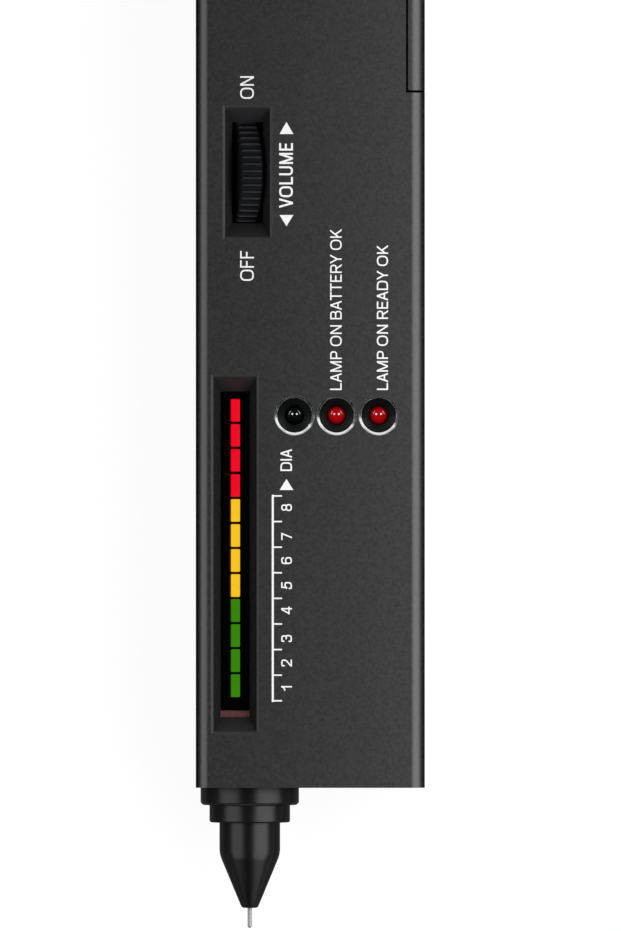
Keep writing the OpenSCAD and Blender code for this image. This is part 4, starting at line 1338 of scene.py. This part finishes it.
@dataclass
class Printing:
    """White marks on the face: the wheel's words, the lamps' lines and the level's scale."""

    rise: float = 0.025
    overlap: float = 0.004
    sink: float = 0.01
    scale_line: Pair = (-5.55, -5.25)
    scale_run: Pair = (12.37, 42.2)
    tick_end: float = -4.07
    tick_w: float = 0.21
    tick_first: float = 12.54
    tick_step: float = 3.686
    tick_count: int = 9
    digit_box: Pair = (-4.19, -2.64)
    digit_w: float = 1.02
    digit_weight: float = 0.2
    digit_at: tuple[float, ...] = (14.31, 17.98, 21.51, 25.54, 29.13, 32.73, 36.19, 40.36)
    wheel_lines: tuple[Line, ...] = (
        Line("ON", (-10.1, -8.12), (99.2, 102.45), 0.22),
        Line("OFF", (-10.1, -8.12), (73.0, 77.28), 0.22),
        Line("VOLUME", (-4.48, -2.5), (83.5, 92.82), 0.28),
    )
    wheel_arrows: tuple[Pair, ...] = ((94.13, 95.86), (82.47, 80.85))
    lamp_lines: tuple[Line, ...] = (
        Line("LAMP ON BATTERY OK", (2.86, 4.52), (57.28, 80.45), 0.2),
        Line("LAMP ON READY OK", (9.58, 11.19), (57.28, 78.15), 0.21),
    )
    scale_word: Line = Line("DIA", (-4.3, -2.64), (45.62, 48.78), 0.22)
    scale_arrow: Pair = (42.88, 44.47)
    arrow_across: Pair = (-4.42, -2.44)
    bend_steps: int = 9
    least_mitre: float = 0.7

    def middle_line(self, stroke: Stroke, size: Array, half: float) -> tuple[Array, Array]:
        """Middle line of a stroke at its real size and how far it is widened at each point.

        The line keeps clear of the letter's box by the widening. A stroke with level or
        upright ends is widened along one direction. Any other has its corners rounded, its
        ends drawn out by half its width, and is widened along the mean of its two normals.

        Args:
            stroke: the stroke in its box from 0 to 1.
            size: width and height of the letter.
            half: half the width of the stroke.

        Returns:
            Points of the line, and for each point the step to the stroke's edge.
        """
        line = np.array(stroke.line, float)
        if stroke.cut is not Cut.SQUARE:
            run = (line[1] - line[0]) * (size - [2 * half, 0])
            lean = np.linalg.norm(run) / abs(run[1]) if stroke.cut is Cut.SIDEWAYS else 0.0
            step = np.array([half * lean, 0.0]) if lean else np.array([0.0, half])
            return step + line * (size - 2 * step), np.broadcast_to(step, line.shape)
        inset, widest = half + line * (size - 2 * half), np.full(len(line), np.inf)
        middle = rounded(inset, widest, self.bend_steps, stroke.loop)
        ahead = unit(np.roll(middle, -1, 0) - middle)
        behind = np.roll(ahead, 1, 0)
        if not stroke.loop:
            ahead[-1], behind[0] = behind[-1], ahead[0]
            middle[0] -= behind[0] * half
            middle[-1] += ahead[-1] * half
        mean = unit(ahead + behind)
        spread = half / np.clip((mean * ahead).sum(1, keepdims=True), self.least_mitre, 1)
        return middle, np.stack([-mean[:, 1], mean[:, 0]], -1) * spread

    def lettering(self, *lines: Line) -> list[Shell]:
        """Makes lines of text: a flat section is carried along each stroke's middle line.

        The reading direction goes to Y and the letters' tops point to the left.

        Args:
            lines: texts and boxes of the lines.

        Returns:
            One thin shell for each stroke.
        """
        shells = []
        for line, (letter, start, width) in ((one, p) for one in lines for p in one.places()):
            size = np.array([width, line.height])
            for order, stroke in enumerate(letter.strokes):
                top = self.rise + order * self.overlap
                levels = CASE.thick + np.array([-self.sink, -self.sink, top, top])
                middle, step = self.middle_line(stroke, size, line.weight / 2)
                low, high = middle - step, middle + step
                sides = np.stack([low, high, high, low], 1)
                x = line.across[1] - sides[..., 1]
                y = CASE.at(line.along[0]) + start + sides[..., 0]
                rings = np.stack([x, y, np.broadcast_to(levels, x.shape)], -1)
                shells.append(loft(rings, Ends.JOINED if stroke.loop else Ends.CAPPED))
        return shells

    def plates(self, outlines: Array) -> list[Shell]:
        """Raises outlines of (across, along) into plates from below the face to above it."""
        levels = CASE.thick + np.array([-self.sink, self.rise])
        return [loft(column(o, STRAIGHT, levels)) for o in outlines + np.array([0, CASE.front])]

    def arrows(self, *along: Pair) -> list[Shell]:
        """Triangles with their base at the first length and their point at the second.

        Args:
            along: the two lengths of each arrow.

        Returns:
            One plate for each arrow.
        """
        left, right = self.arrow_across
        middle = (left + right) / 2
        return self.plates(np.array([[(left, a), (right, a), (middle, b)] for a, b in along]))

    def scale(self) -> list[Shell]:
        """Long line of the scale and its ticks at even steps.

        Returns:
            One plate for the line and one for each tick.
        """
        ends = np.array([[0, 0], [1, 0], [1, 1], [0, 1]])
        low, high = np.array([self.scale_line, self.scale_run]).T
        spine = low + ends * (high - low)
        middle = self.tick_first + np.arange(self.tick_count) * self.tick_step
        side = np.full(self.tick_count, self.scale_line[1])
        first = np.stack([side, middle - self.tick_w / 2], -1)
        size = np.array([self.tick_end - self.scale_line[1], self.tick_w])
        return self.plates(np.concatenate([spine[None], first[:, None] + ends * size]))

    def digits(self) -> list[Line]:
        """Numbers beside the scale, each centred at its own length and as wide as its letter.

        Returns:
            One line of print for each number.
        """
        lines = []
        for number, at in enumerate(self.digit_at, 1):
            half = self.digit_w / 2 * LETTERS[str(number)].width / LETTERS["8"].width
            ends = (at - half, at + half)
            lines.append(Line(str(number), self.digit_box, ends, self.digit_weight))
        return lines

    def build(self) -> None:
        """Prints the three groups of marks."""
        words = self.lettering(self.scale_word, *self.digits())
        for name, shells in (
            ("wheel_print", self.lettering(*self.wheel_lines) + self.arrows(*self.wheel_arrows)),
            ("lamp_print", self.lettering(*self.lamp_lines)),
            ("scale_print", words + self.scale() + self.arrows(self.scale_arrow)),
        ):
            place(name, joined(shells).mesh(name, crease=30), INK_WHITE, "casing")


@dataclass
class LevelDisplay:
    """Light bars in their black mask over the brown carrier plate."""

    count: int = 4
    corner: float = 0.12
    corner_steps: int = 4
    crown: float = 0.1
    trim: float = 0.1
    steps: int = 5
    mask_edge: float = 0.04
    plate_edge: float = 0.05

    def bars(self, node: str) -> Shell:
        """Works out the bars of one colour as rounded blocks.

        A rounded rectangle is carried up from the foot; near the top it is inset by
        crown * (1 - cos a) while the height gains crown * sin a, for a from 0 to 90 degrees.
        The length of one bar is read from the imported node's first solid.

        Args:
            node: node of the frame with the bars.

        Returns:
            The bars as one shell.
        """
        low, high, _ = corners_of(node)
        low[0] += self.trim
        y = values(frame["nodes"][node].data.vertices, "co")[:, 1]
        levels = np.unique(np.round(y / MM, 3))
        length = float(levels[len(levels) // self.count - 1] - levels[0])
        pitch = (high[1] - low[1] - length) / (self.count - 1)
        a = np.linspace(0, QUARTER, self.steps)
        inset = np.concatenate([[0.0], self.crown * (1 - np.cos(a))])
        z = np.concatenate([[low[2]], high[2] - self.crown + self.crown * np.sin(a)])
        size = np.array([high[0] - low[0], length])
        ring = rounded_box(*size, self.corner, self.corner_steps)
        block = column(ring, 1 - 2 * inset[:, None] / size, z)
        middle = np.array([(low[0] + high[0]) / 2, low[1] + length / 2, 0])
        step = np.arange(self.count)[:, None] * np.array([0, pitch, 0])
        return loft(block).repeated(middle + step)

    def build(self) -> None:
        """Builds the bars and dresses the mask and the plate."""
        for node, finish in zip(
            ("green_bars", "amber_bars", "red_bars"), (BAR_GREEN, BAR_AMBER, BAR_RED)
        ):
            mesh = self.bars(node).mesh(node + "_lit")
            place(node + "_lit", mesh, finish, "casing", finish.name, (node,))
        for name, node, finish, width in (
            ("level_mask", "level_frame", BLACK_MASK_AND_SEAM_SHADE, self.mask_edge),
            ("level_plate", "bar_plate", PHENOLIC, self.plate_edge),
        ):
            softened(name, node, finish, "casing", finish.name, width)


@dataclass
class Lamps:
    """Three round lamps in dished bezels."""

    lens_r: float = 1.35
    lens_h: float = 5.8
    foot_r: float = 1.7
    foot_h: float = 0.9
    dome_steps: int = 20
    fade: Pair = (3, 1.15)
    sleeve_r: float = 2.85
    lip_r: float = 2.89
    lip_h: float = 0.03
    bevel: float = 0.37
    bevel_h: float = 0.3
    brink: float = 0.015
    dish: float = 1.2
    bezel_h: float = 2.6
    bezel_cuts: tuple[float, ...] = (0.05, 0.1, 0.01, 0.01, 0.012, 0.004, 0.004, 0.12)
    slack: float = 0.05
    steps: int = 72
    polished: ClassVar[list[bpy.types.Object]] = []

    def lens(self) -> Array:
        """Profile of a lens: a flanged foot, a straight barrel and a quarter circle to the top.

        Returns:
            Rows of radius and height.
        """
        a = np.linspace(0, QUARTER, self.dome_steps)
        dome = np.stack([np.cos(a), np.sin(a)], -1) * self.lens_r + [0, self.lens_h - self.lens_r]
        flange = [[self.foot_r, 0], [self.foot_r, self.foot_h], [self.lens_r, self.foot_h]]
        return np.concatenate([[[0, 0]], flange, dome])

    def bezel(self) -> Array:
        """Profile of a bezel: a sleeve with a lip on the face, a bevelled mouth and a dish.

        Returns:
            Rows of radius and height.
        """
        hole, top, mouth = self.lens_r + self.slack, self.lip_h, self.lip_r - self.bevel
        corners = [
            [hole, -self.bezel_h],
            [self.sleeve_r, -self.bezel_h],
            [self.sleeve_r, 0],
            [self.lip_r, 0],
            [self.lip_r, top],
            [mouth, top - self.bevel_h],
            [mouth - self.brink, top - self.bevel_h - self.brink],
            [hole, top - self.dish],
        ]
        return rounded(corners, self.bezel_cuts)

    def on_bevel(self, points: Array, mouths: Array) -> Array:
        """Which points of the bezels lie on a bevel.

        Args:
            points: rows of three coordinates.
            mouths: middles of the bezels on the face.

        Returns:
            True or false for each point.
        """
        reach = np.linalg.norm(points[:, None, :2] - mouths[None, :, :2], axis=2).min(1)
        outside = reach > self.lip_r - self.bevel - self.brink / 2
        inside = reach < self.lip_r - self.lip_h / 4
        foot = CASE.thick + self.lip_h - self.bevel_h - self.brink
        return outside & inside & (points[:, 2] > foot)

    def build(self) -> None:
        """Builds the lenses, whose glow is (1 - (r / R)^a)^b and whose colour falls off the same
        way as painted shade, and the three bezels.
        """
        mouths, (power, outer) = [], self.fade
        lamps = {"marker_lamp": LAMP_DARK, "battery_lamp": LAMP_RED, "ready_lamp": LAMP_RED}
        for node, finish in lamps.items():
            low, _, middle = corners_of(node)
            foot = Spindle(np.array([*middle[:2], low[2]]), Z, X)
            mesh = revolve(self.lens(), foot, self.steps, Ends.OPEN).mesh(node + "_lens")
            arm = values(mesh.vertices, "co")[:, :2] / MM - middle[:2]
            share = np.clip(np.linalg.norm(arm, axis=1) / self.lens_r, 0, 1)
            mark(mesh, "glow", (1 - share**power) ** outer)
            lens = place(node + "_lens", mesh, finish, "casing", finish.name, (node,))
            self.polished.append(lens)
            mouths.append([*middle[:2], CASE.thick])
        mouths = np.array(mouths)
        ring = revolve(self.bezel(), Spindle(np.zeros(3), Z, X), self.steps)
        mesh = ring.repeated(mouths).mesh("bezel_rings", crease=50)
        mark(mesh, "cut", self.on_bevel(values(mesh.vertices, "co") / MM, mouths))
        slot, nodes = "bezel_black", ("lamp_bezels",)
        self.polished.append(place("bezel_rings", mesh, BEZEL_BLACK, "casing", slot, nodes))
        dress(lamp_legs=TINNED)


@dataclass
class VolumeWheel:
    """Ribbed thumb wheel on its leaning spindle."""

    radius: float = 9.2
    width: float = 3.3
    bevel: float = 0.35
    hub_r: float = 3.0
    hub_l: float = 0.5
    bore: float = 1.53
    web: float = 0.5
    land: float = 1.1
    cuts: tuple[float, ...] = (0.03, 0.16, 0.2, 0.2, 0.16, 0.1, 0.15, 0.15, 0.1, 0.03)
    cut_steps: int = 4
    ribs: int = 56
    rib_h: float = 0.4
    rib_steps: int = 12
    sharpness: float = 2.2
    crest: float = 0.24
    phase: float = -1.26
    rubbed: float = 0.6

    def loop(self) -> tuple[Array, Array]:
        """Cross-section of the wheel as a closed loop, with the share of the ribs' depth.

        Returns:
            Rows of radius and height, and the share from 0 to 1 at each of them.
        """
        half, inner = self.width / 2, self.radius - self.land
        corners = [
            [self.bore, -half],
            [self.radius - self.bevel, -half],
            [self.radius, self.bevel - half],
            [self.radius, half - self.bevel],
            [self.radius - self.bevel, half],
            [inner, half],
            [inner, half - self.web],
            [self.hub_r, half - self.web],
            [self.hub_r, half + self.hub_l],
            [self.bore, half + self.hub_l],
        ]
        profile = rounded(corners, self.cuts, self.cut_steps)
        rim = 2 * self.bevel
        return profile, np.clip((profile[:, 0] - (self.radius - rim)) / rim, 0, 1)

    def build(self) -> None:
        """Builds the wheel about its joint: radius falls into each groove by a flattened cosine.

        wave(a) = tanh(k (cos(n (a - phase)) - cos(pi crest))), so crests are narrow and round
        and grooves are wide and flat. The groove is the wave scaled to run from 0 on a crest to
        1 in a groove, and radius(v, a) = radius(v) - share(v) * depth * groove(a).
        """
        turn = next(j for j in frame["joints"] if j["name"] == "wheel_turn")
        along = unit(np.array(turn["axis"]))
        across = unit(Z - along * (Z @ along))
        spindle = Spindle(np.array(turn["pos_m"]) / MM, along, across)
        profile, share = self.loop()
        angle = np.linspace(0, TURN, self.ribs * self.rib_steps, endpoint=False)
        turned = np.cos(self.ribs * (angle - math.radians(self.phase)))
        wave = np.tanh(self.sharpness * (turned - math.cos(math.pi * self.crest)))
        groove = (wave.max() - wave) / np.ptp(wave)
        radius = profile[:, :1] - share[:, None] * self.rib_h * groove[None]
        height = np.broadcast_to(profile[:, 1:], radius.shape)
        rings = spindle.point(radius, height, np.broadcast_to(angle, radius.shape))
        mesh = loft(rings, Ends.JOINED).mesh("ribbed_wheel", crease=60)
        arm = values(mesh.vertices, "co") / MM - spindle.origin
        out = np.linalg.norm(arm - np.outer(arm @ spindle.along, spindle.along), axis=1)
        # Painted highlight: the rib crests take a lighter, smoother colour where the lamps catch
        # them.
        crest = np.clip(1 - (self.radius - out) / (self.rib_h * self.rubbed), 0, 1)
        mark(mesh, "crest", crest)
        place("ribbed_wheel", mesh, WHEEL_BLACK, "wheel", "wheel_black", ("volume_wheel",))
        dress(wheel_shaft=POT_CAN)


@dataclass
class Probe:
    """Collar, lock ring, nose and needle on one axis, with the sprung parts inside."""

    collar_r: float = 7.12
    collar_l: float = 2.65
    collar_bevel: float = 0.36
    collar_cuts: tuple[float, ...] = (
        0.05, 0.08, 0.08, 0.12, 0.02, 0.02, 0.1, 0.1, 0.1, 0.1, 0.1, 0.02, 0.02
    )
    neck_r: float = 4.7
    wall: float = 2.1
    flange_r: float = 5.5
    flange_t: float = 1.5
    tail_r: float = 3.3
    tail_l: float = 8.0
    bore_r: float = 2.18
    spigot_r: float = 3.5
    slack: float = 0.1
    ring_r: float = 5.83
    ring_l: float = 2.53
    ring_cuts: tuple[float, ...] = (0.05, 0.05, 0.36, 0.08)
    ring_steps: int = 9
    nose_r: float = 4.39
    nose_l: float = 4.6
    nose_cuts: tuple[float, ...] = (0.05, 0.05, 0.05, 0.1, 0.5, 0.9, 0.06, 0.03, 0.1)
    nose_steps: int = 11
    taper_l: float = 7.77
    tip_r: float = 1.15
    spigot_gap: float = 0.3
    seat_in: float = 1.86
    needle_r: float = 0.33
    needle_in: float = 3.0
    needle_out: float = 2.91
    needle_gap: float = 0.08
    needle_steps: int = 12
    needle_sides: int = 40
    spring_r: float = 1.65
    wire_r: float = 0.2
    wire_sides: int = 12
    turns: int = 8
    turn_steps: int = 28
    spring_seat: float = -4.13
    spring_to: float = 4.8
    press: float = 1.0
    sense_r: float = 0.35
    sense_sides: int = 16
    sense_step: float = 0.84
    sense_route: tuple[Pair, ...] = (
        (5.8, 11.0), (8.8, 11.0), (11.8, 12.65), (12.85, 12.65), (15.0, 12.65)
    )
    steps: int = 128

    def __post_init__(self) -> None:
        """Works out the axis and the distances of the nose's steps in front of the casing.

        Height zero of the axis is at the casing's front end and forward is negative.
        """
        middle = corners_of("nose_cone")[2]
        self.spindle = Spindle(np.array([middle[0], CASE.front, middle[2]]), Y, Z)
        self.hole = self.spigot_r + self.slack
        self.nose_start = self.collar_l + self.ring_l
        self.taper_at = self.nose_start + self.nose_l
        self.nose_end = self.taper_at + self.taper_l
        self.seat = self.taper_at + self.seat_in
        self.spring_from = self.spring_seat + self.wire_r

    def collar(self) -> Array:
        """Profile of the collar, from its front face round its neck and tail.

        Returns:
            Rows of radius and height.
        """
        back = self.wall + self.flange_t
        corners = [
            [self.hole, -self.collar_l],
            [self.collar_r - self.collar_bevel, -self.collar_l],
            [self.collar_r, self.collar_bevel - self.collar_l],
            [self.collar_r, 0],
            [self.neck_r, 0],
            [self.neck_r, self.wall],
            [self.flange_r, self.wall],
            [self.flange_r, back],
            [self.tail_r, back],
            [self.tail_r, self.tail_l],
            [self.bore_r, self.tail_l],
            [self.bore_r, 0],
            [self.hole, 0],
        ]
        return rounded(corners, self.collar_cuts)

    def ring(self) -> Array:
        """Profile of the lock ring, with a wide round on its front edge.

        Returns:
            Rows of radius and height.
        """
        corners = [
            [self.hole, -self.collar_l],
            [self.hole, -self.nose_start],
            [self.ring_r, -self.nose_start],
            [self.ring_r, -self.collar_l],
        ]
        return rounded(corners, self.ring_cuts, self.ring_steps)

    def nose(self) -> Array:
        """Profile of the nose: bore, seat, rounded tip, taper, soft shoulder and spigot.

        Returns:
            Rows of radius and height.
        """
        eye = self.needle_r + self.needle_gap
        corners = [
            [self.bore_r, -self.spigot_gap],
            [self.bore_r, -self.seat],
            [eye, -self.seat],
            [eye, -self.nose_end],
            [self.tip_r, -self.nose_end],
            [self.nose_r, -self.taper_at],
            [self.nose_r, -self.nose_start],
            [self.spigot_r, -self.nose_start],
            [self.spigot_r, -self.spigot_gap],
        ]
        return rounded(corners, self.nose_cuts, self.nose_steps)

    def needle(self) -> Array:
        """Profile of the needle: a rod with a round tip, drawn from its tip backwards.

        Returns:
            Rows of radius and height.
        """
        a = np.linspace(0, QUARTER, self.needle_steps)
        tip, back = -(self.nose_end + self.needle_out), self.needle_in - self.seat
        dome = np.stack([np.sin(a), 1 - np.cos(a)], -1) * self.needle_r + [0, tip]
        return np.concatenate([dome, [[self.needle_r, back], [0, back]]])

    def spring(self) -> Shell:
        """Return spring: angle and distance both grow evenly along the wire.

        Returns:
            The wound wire.
        """
        t = np.linspace(0, 1, self.turns * self.turn_steps + 1)
        height = self.spring_from + (self.spring_to - self.spring_from) * t
        angle = QUARTER - TURN * self.turns * t
        path = self.spindle.point(np.full_like(t, self.spring_r), height, angle)
        return tube(path, self.wire_r, self.wire_sides, Y)

    def build(self) -> None:
        """Builds the turned pieces, the spring and the wires, and dresses the hidden pieces."""
        spindle = self.spindle
        for name, profile, node in (
            ("collar_turned", self.collar(), "probe_collar"),
            ("ring_turned", self.ring(), "lock_ring"),
            ("nose_turned", self.nose(), "nose_cone"),
        ):
            mesh = revolve(profile, spindle, self.steps).mesh(name, crease=35)
            place(name, mesh, PROBE_BLACK, "casing", "probe_black", (node,))
        rod = revolve(self.needle(), spindle, self.needle_sides, Ends.OPEN)
        mesh = rod.mesh("needle_drawn")
        place("needle_drawn", mesh, NEEDLE_STEEL, "probe_tip", "needle_steel", ("probe_needle",))
        mesh = self.spring().mesh("spring_coil", crease=50)
        coil = place("spring_coil", mesh, SPRING_STEEL, "casing", "spring_steel")
        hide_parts("needle_spring")
        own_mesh(coil)
        dress(needle_holder=HOLDER_BRASS, needle_heater=HEATER_WHITE, tail_plug=PLUG_NYLON)
        places = [spindle.origin[0] + side * self.sense_step / 2 for side in (-1, 1)]
        shape = self.sense_route, self.sense_r, self.sense_sides
        mesh = joined([wire(x, *shape) for x in places]).mesh("sensor_wires", crease=50)
        place("sensor_wires", mesh, TINNED, "casing", "tinned_wire", ("sensor_leads",))


@dataclass
class PowerBay:
    """Battery with its studs, the snap connector and its two leads."""

    jacket_r: float = 2.0
    crimp: float = 0.45
    crimp_l: float = 0.8
    crimp_steps: int = 6
    corner_steps: int = 8
    end_inset: float = 1.1
    band: Pair = (5.0, 11.0)
    stud_edge: float = 0.2
    snap_edge: float = 0.3
    lead_r: float = 0.65
    lead_sides: int = 20
    lead_route: tuple[Pair, ...] = (
        (102.9, 11.0), (100.1, 11.0), (97.1, 11.0), (88.6, 11.65),
        (82.3, 12.95), (78.8, 12.95), (75.3, 12.95),
    )

    def jacket(self) -> Shell:
        """Battery sleeve: a rounded rectangle along Y, drawn in where its ends are crimped.

        Returns:
            The closed sleeve.
        """
        low, high, middle = corners_of("battery")
        wide, length, tall = high - low
        a = np.linspace(0, QUARTER, self.crimp_steps)
        rim, roll = self.crimp * (1 - np.sin(a)), self.crimp_l * (1 - np.cos(a))
        inset = np.concatenate([[self.end_inset], rim, rim[::-1], [self.end_inset]])
        y = np.concatenate([[0.0], roll, length - roll[::-1], [length]])
        ring = rounded_box(wide, tall, self.jacket_r, self.corner_steps)
        rings = column(ring, 1 - 2 * inset[:, None] / np.array([wide, tall]), y)
        return loft(rings[..., ALONG_Y] + np.array([middle[0], low[1], middle[2]]))

    def build(self) -> None:
        """Builds the battery and the leads, and softens the studs and the connector."""
        front = float(corners_of("battery")[0][1])
        finish = replace(JACKET, band=tuple(front + end for end in self.band))
        mesh = self.jacket().mesh("battery_sleeve", crease=30)
        place("battery_sleeve", mesh, finish, "casing", "battery_jacket", ("battery",))
        for name, node, finish, width in (
            ("battery_caps", "battery_studs", STUD_PLATE, self.stud_edge),
            ("snap_block", "battery_snap", SNAP_BLACK, self.snap_edge),
        ):
            softened(name, node, finish, "casing", finish.name, width)
        for node, finish in (("red_lead", LEAD_RED), ("black_lead", LEAD_BLACK)):
            x = corners_of(node)[2][0]
            shell = wire(x, self.lead_route, self.lead_r, self.lead_sides)
            mesh = shell.mesh(node + "_wire", crease=50)
            place(node + "_wire", mesh, finish, "casing", finish.name, (node,))


@dataclass
class Electronics:
    """Board and the parts on it, inside the closed casing."""

    finishes: tuple[tuple[str, Finish], ...] = (
        ("main_board", PHENOLIC), ("board_screws", SCREW_STEEL), ("driver_chip", CHIP_BLACK),
        ("amplifier_chip", CHIP_BLACK), ("capacitors", SLEEVE_BLUE), ("trimmer", SLEEVE_BLUE),
        ("resistors", RESISTOR_TAN), ("buzzer", CHIP_BLACK), ("pot_body", POT_CAN),
        ("pot_tags", TINNED),
    )

    def build(self) -> None:
        """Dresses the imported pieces."""
        dress(**dict(self.finishes))


class Reach(Enum):
    """Which pieces a lamp lights: the lenses and bezels, or all the others."""

    POLISHED = "INCLUDE"
    THE_REST = "EXCLUDE"


@dataclass(frozen=True)
class Softbox:
    """Area lamp: where it stands, where it points, its size, its power and what it lights."""

    name: str
    stands: Triple
    points_at: Triple
    size: Pair
    power: float
    reach: Reach = Reach.THE_REST


GLINT = ((0.0, -0.015, 0.022), (0.2, 0.2), 7.5, Reach.POLISHED)


@dataclass
class Studio:
    """Camera straight above the face, pale floor, dark flags and soft lamps."""

    middle: Pair = (0.03, 46.41)
    distance: float = 2.5
    view_height: float = 0.13402
    sensor: float = 36.0
    clip: Pair = (0.1, 50.0)
    floor_half: float = 15.0
    floor_colour: Colour = (0.13, 0.13, 0.13)
    top_up: float = 0.91
    sky: Colour = (0.06, 0.06, 0.062)
    white: Colour = (1.0, 1.0, 1.0)
    backdrop: float = 0.92
    tent_half: float = 1.5
    tent_top: float = 0.65
    tent_front: float = -1.5
    tent_rear: Triple = (0.87, 1.79, 0.2)
    tent_colour: Colour = (0.03, 0.03, 0.03)
    front_colour: Colour = (0.025, 0.025, 0.025)
    front_wall: int = 1
    card: Triple = (0.047, 0.6, 0.4)
    card_z: float = 0.0004
    lamps: tuple[Softbox, ...] = (
        Softbox(
            "right_box", (0.1045, -0.0425, 0.1173), (0.0357, -0.0425, 0.022), (0.345, 0.167), 0.477
        ),
        Softbox(
            "left_box", (-0.1435, -0.0425, 0.1307), (0.0, -0.0425, 0.022), (0.345, 0.1535), 0.283
        ),
        Softbox("right_glint", (0.284, 0.143, 0.526), *GLINT),
        Softbox("left_glint", (-0.284, 0.143, 0.526), *GLINT),
    )

    def camera(self) -> None:
        """Camera straight down, with the picture's top towards the battery end."""
        data = bpy.data.cameras.new("camera")
        data.sensor_width = self.sensor
        data.lens = self.sensor * self.distance / self.view_height
        data.clip_start, data.clip_end = self.clip
        camera = linked("camera", data)
        x, y = self.middle
        camera.location = (x * MM, CASE.at(y) * MM, CASE.thick * MM + self.distance)
        bpy.context.scene.camera = camera

    @staticmethod
    def panels(name: str, corners: list[list[list[float]]]) -> bpy.types.Object:
        """Puts four-cornered panels into the scene as one object.

        Args:
            name: name of the object.
            corners: four corners of each panel, in metres.

        Returns:
            The object, without a material.
        """
        mesh = bpy.data.meshes.new(name)
        points = np.array(corners, float).reshape(-1, 3)
        mesh.from_pydata(points.tolist(), [], np.arange(len(points)).reshape(-1, 4).tolist())
        return linked(name, mesh)

    @staticmethod
    def seen(sheet: NodeSheet) -> Socket:
        """Whether a ray comes from the camera, a mirror or glass.

        Args:
            sheet: sheet of the material or world.

        Returns:
            1 for such a ray, else 0.
        """
        path = sheet.add("LightPath").outputs
        mirrored = sheet.math("MAXIMUM", path["Is Glossy Ray"], path["Is Transmission Ray"])
        return sheet.math("MAXIMUM", path["Is Camera Ray"], mirrored)

    def floor(self) -> None:
        """Floor that takes the shadow and is topped up to white for what looks straight at it."""
        far = self.floor_half
        square = [[-far, -far, 0], [far, -far, 0], [far, far, 0], [-far, far, 0]]
        floor = self.panels("floor", [square])
        made = bpy.data.materials.new("floor_pale")
        sheet = NodeSheet.blank(made)
        matte = sheet.add("BsdfDiffuse", {"Color": rgba(self.floor_colour)})
        glow = sheet.add("Emission", {"Strength": sheet.product(self.seen(sheet), self.top_up)})
        both = sheet.add("AddShader")
        for target, part in zip(both.inputs, (matte, glow)):
            sheet.put(target, part.outputs[0])
        sheet.add("OutputMaterial", {"Surface": both.outputs[0]})
        floor.data.materials.append(made)

    def flags(self) -> None:
        """Dark tent out of view that is open to the rear, and a dark card to each side.

        The tent's front wall glows a little, which the bevels of the bezels mirror.
        """
        half, front, top = self.tent_half, self.tent_front, self.tent_top
        left, rear, right = self.tent_rear
        near, far, long = self.card
        sheets = [
            [[-half, front, top], [half, front, top], [half, rear, top], [-half, rear, top]],
            [[-half, front, 0], [half, front, 0], [half, front, top], [-half, front, top]],
            [[-half, front, 0], [-half, left, 0], [-half, left, top], [-half, front, top]],
            [[half, front, 0], [half, right, 0], [half, right, top], [half, front, top]],
        ]
        card = ((near, -long), (far, -long), (far, long), (near, long))
        sheets += [[[side * x, y, self.card_z] for x, y in card] for side in (-1, 1)]
        flags = self.panels("flags", sheets)
        for name, glow in (("flag_cloth", 0.0), ("flag_grey", 1.0)):
            cloth = Bench(name)
            cloth.put(Base_Color=rgba(self.tent_colour), Roughness=1.0, Specular_IOR_Level=0.0)
            cloth.put(Emission_Color=rgba(self.front_colour), Emission_Strength=glow)
            flags.data.materials.append(cloth.made)
        flags.data.polygons[self.front_wall].material_index = 1
        flags.visible_camera = flags.visible_diffuse = flags.visible_shadow = False

    def light(self) -> None:
        """Soft lamps, hidden from the camera, each with the pieces that it lights."""
        for box in self.lamps:
            chosen = bpy.data.collections.new(box.name + "_reach")
            for piece in Lamps.polished:
                chosen.objects.link(piece)
            data = bpy.data.lights.new(box.name, "AREA")
            data.shape = "RECTANGLE"
            data.size, data.size_y = box.size
            data.energy = box.power
            lamp = linked(box.name, data)
            lamp.location = box.stands
            aim = Vector(box.points_at) - Vector(box.stands)
            lamp.rotation_euler = aim.to_track_quat("-Z", "Y").to_euler()
            lamp.visible_camera = False
            lamp.light_linking.receiver_collection = chosen
            for member in chosen.collection_objects:
                member.light_linking.link_state = box.reach.value

    def room(self) -> None:
        """Dim room light, with a pale backdrop for what looks at it."""
        world = bpy.data.worlds.new("room")
        sheet = NodeSheet.blank(world)
        dim = sheet.add("Background", {"Color": rgba(self.sky)})
        pale = sheet.add("Background", {"Color": rgba(self.white), "Strength": self.backdrop})
        shown = sheet.add("MixShader")
        for target, part in zip(shown.inputs, (self.seen(sheet), dim.outputs[0], pale.outputs[0])):
            sheet.put(target, part)
        sheet.add("OutputWorld", {"Surface": shown.outputs[0]})
        bpy.context.scene.world = world

    def build(self) -> None:
        """Sets up the camera, the floor and the light."""
        for step in (self.camera, self.floor, self.flags, self.light, self.room):
            step()
        bpy.context.scene.view_settings.view_transform = "Standard"


def main() -> None:
    """Builds the studio and every sub-assembly."""
    logging.basicConfig(level=logging.INFO, format="%(name)s: %(message)s")
    for kind in (
        Casing, Printing, LevelDisplay, Lamps, VolumeWheel, Probe, PowerBay, Electronics, Studio
    ):
        kind().build()
        LOG.info("%s built", kind.__name__)


if __name__ == "__main__":
    main()
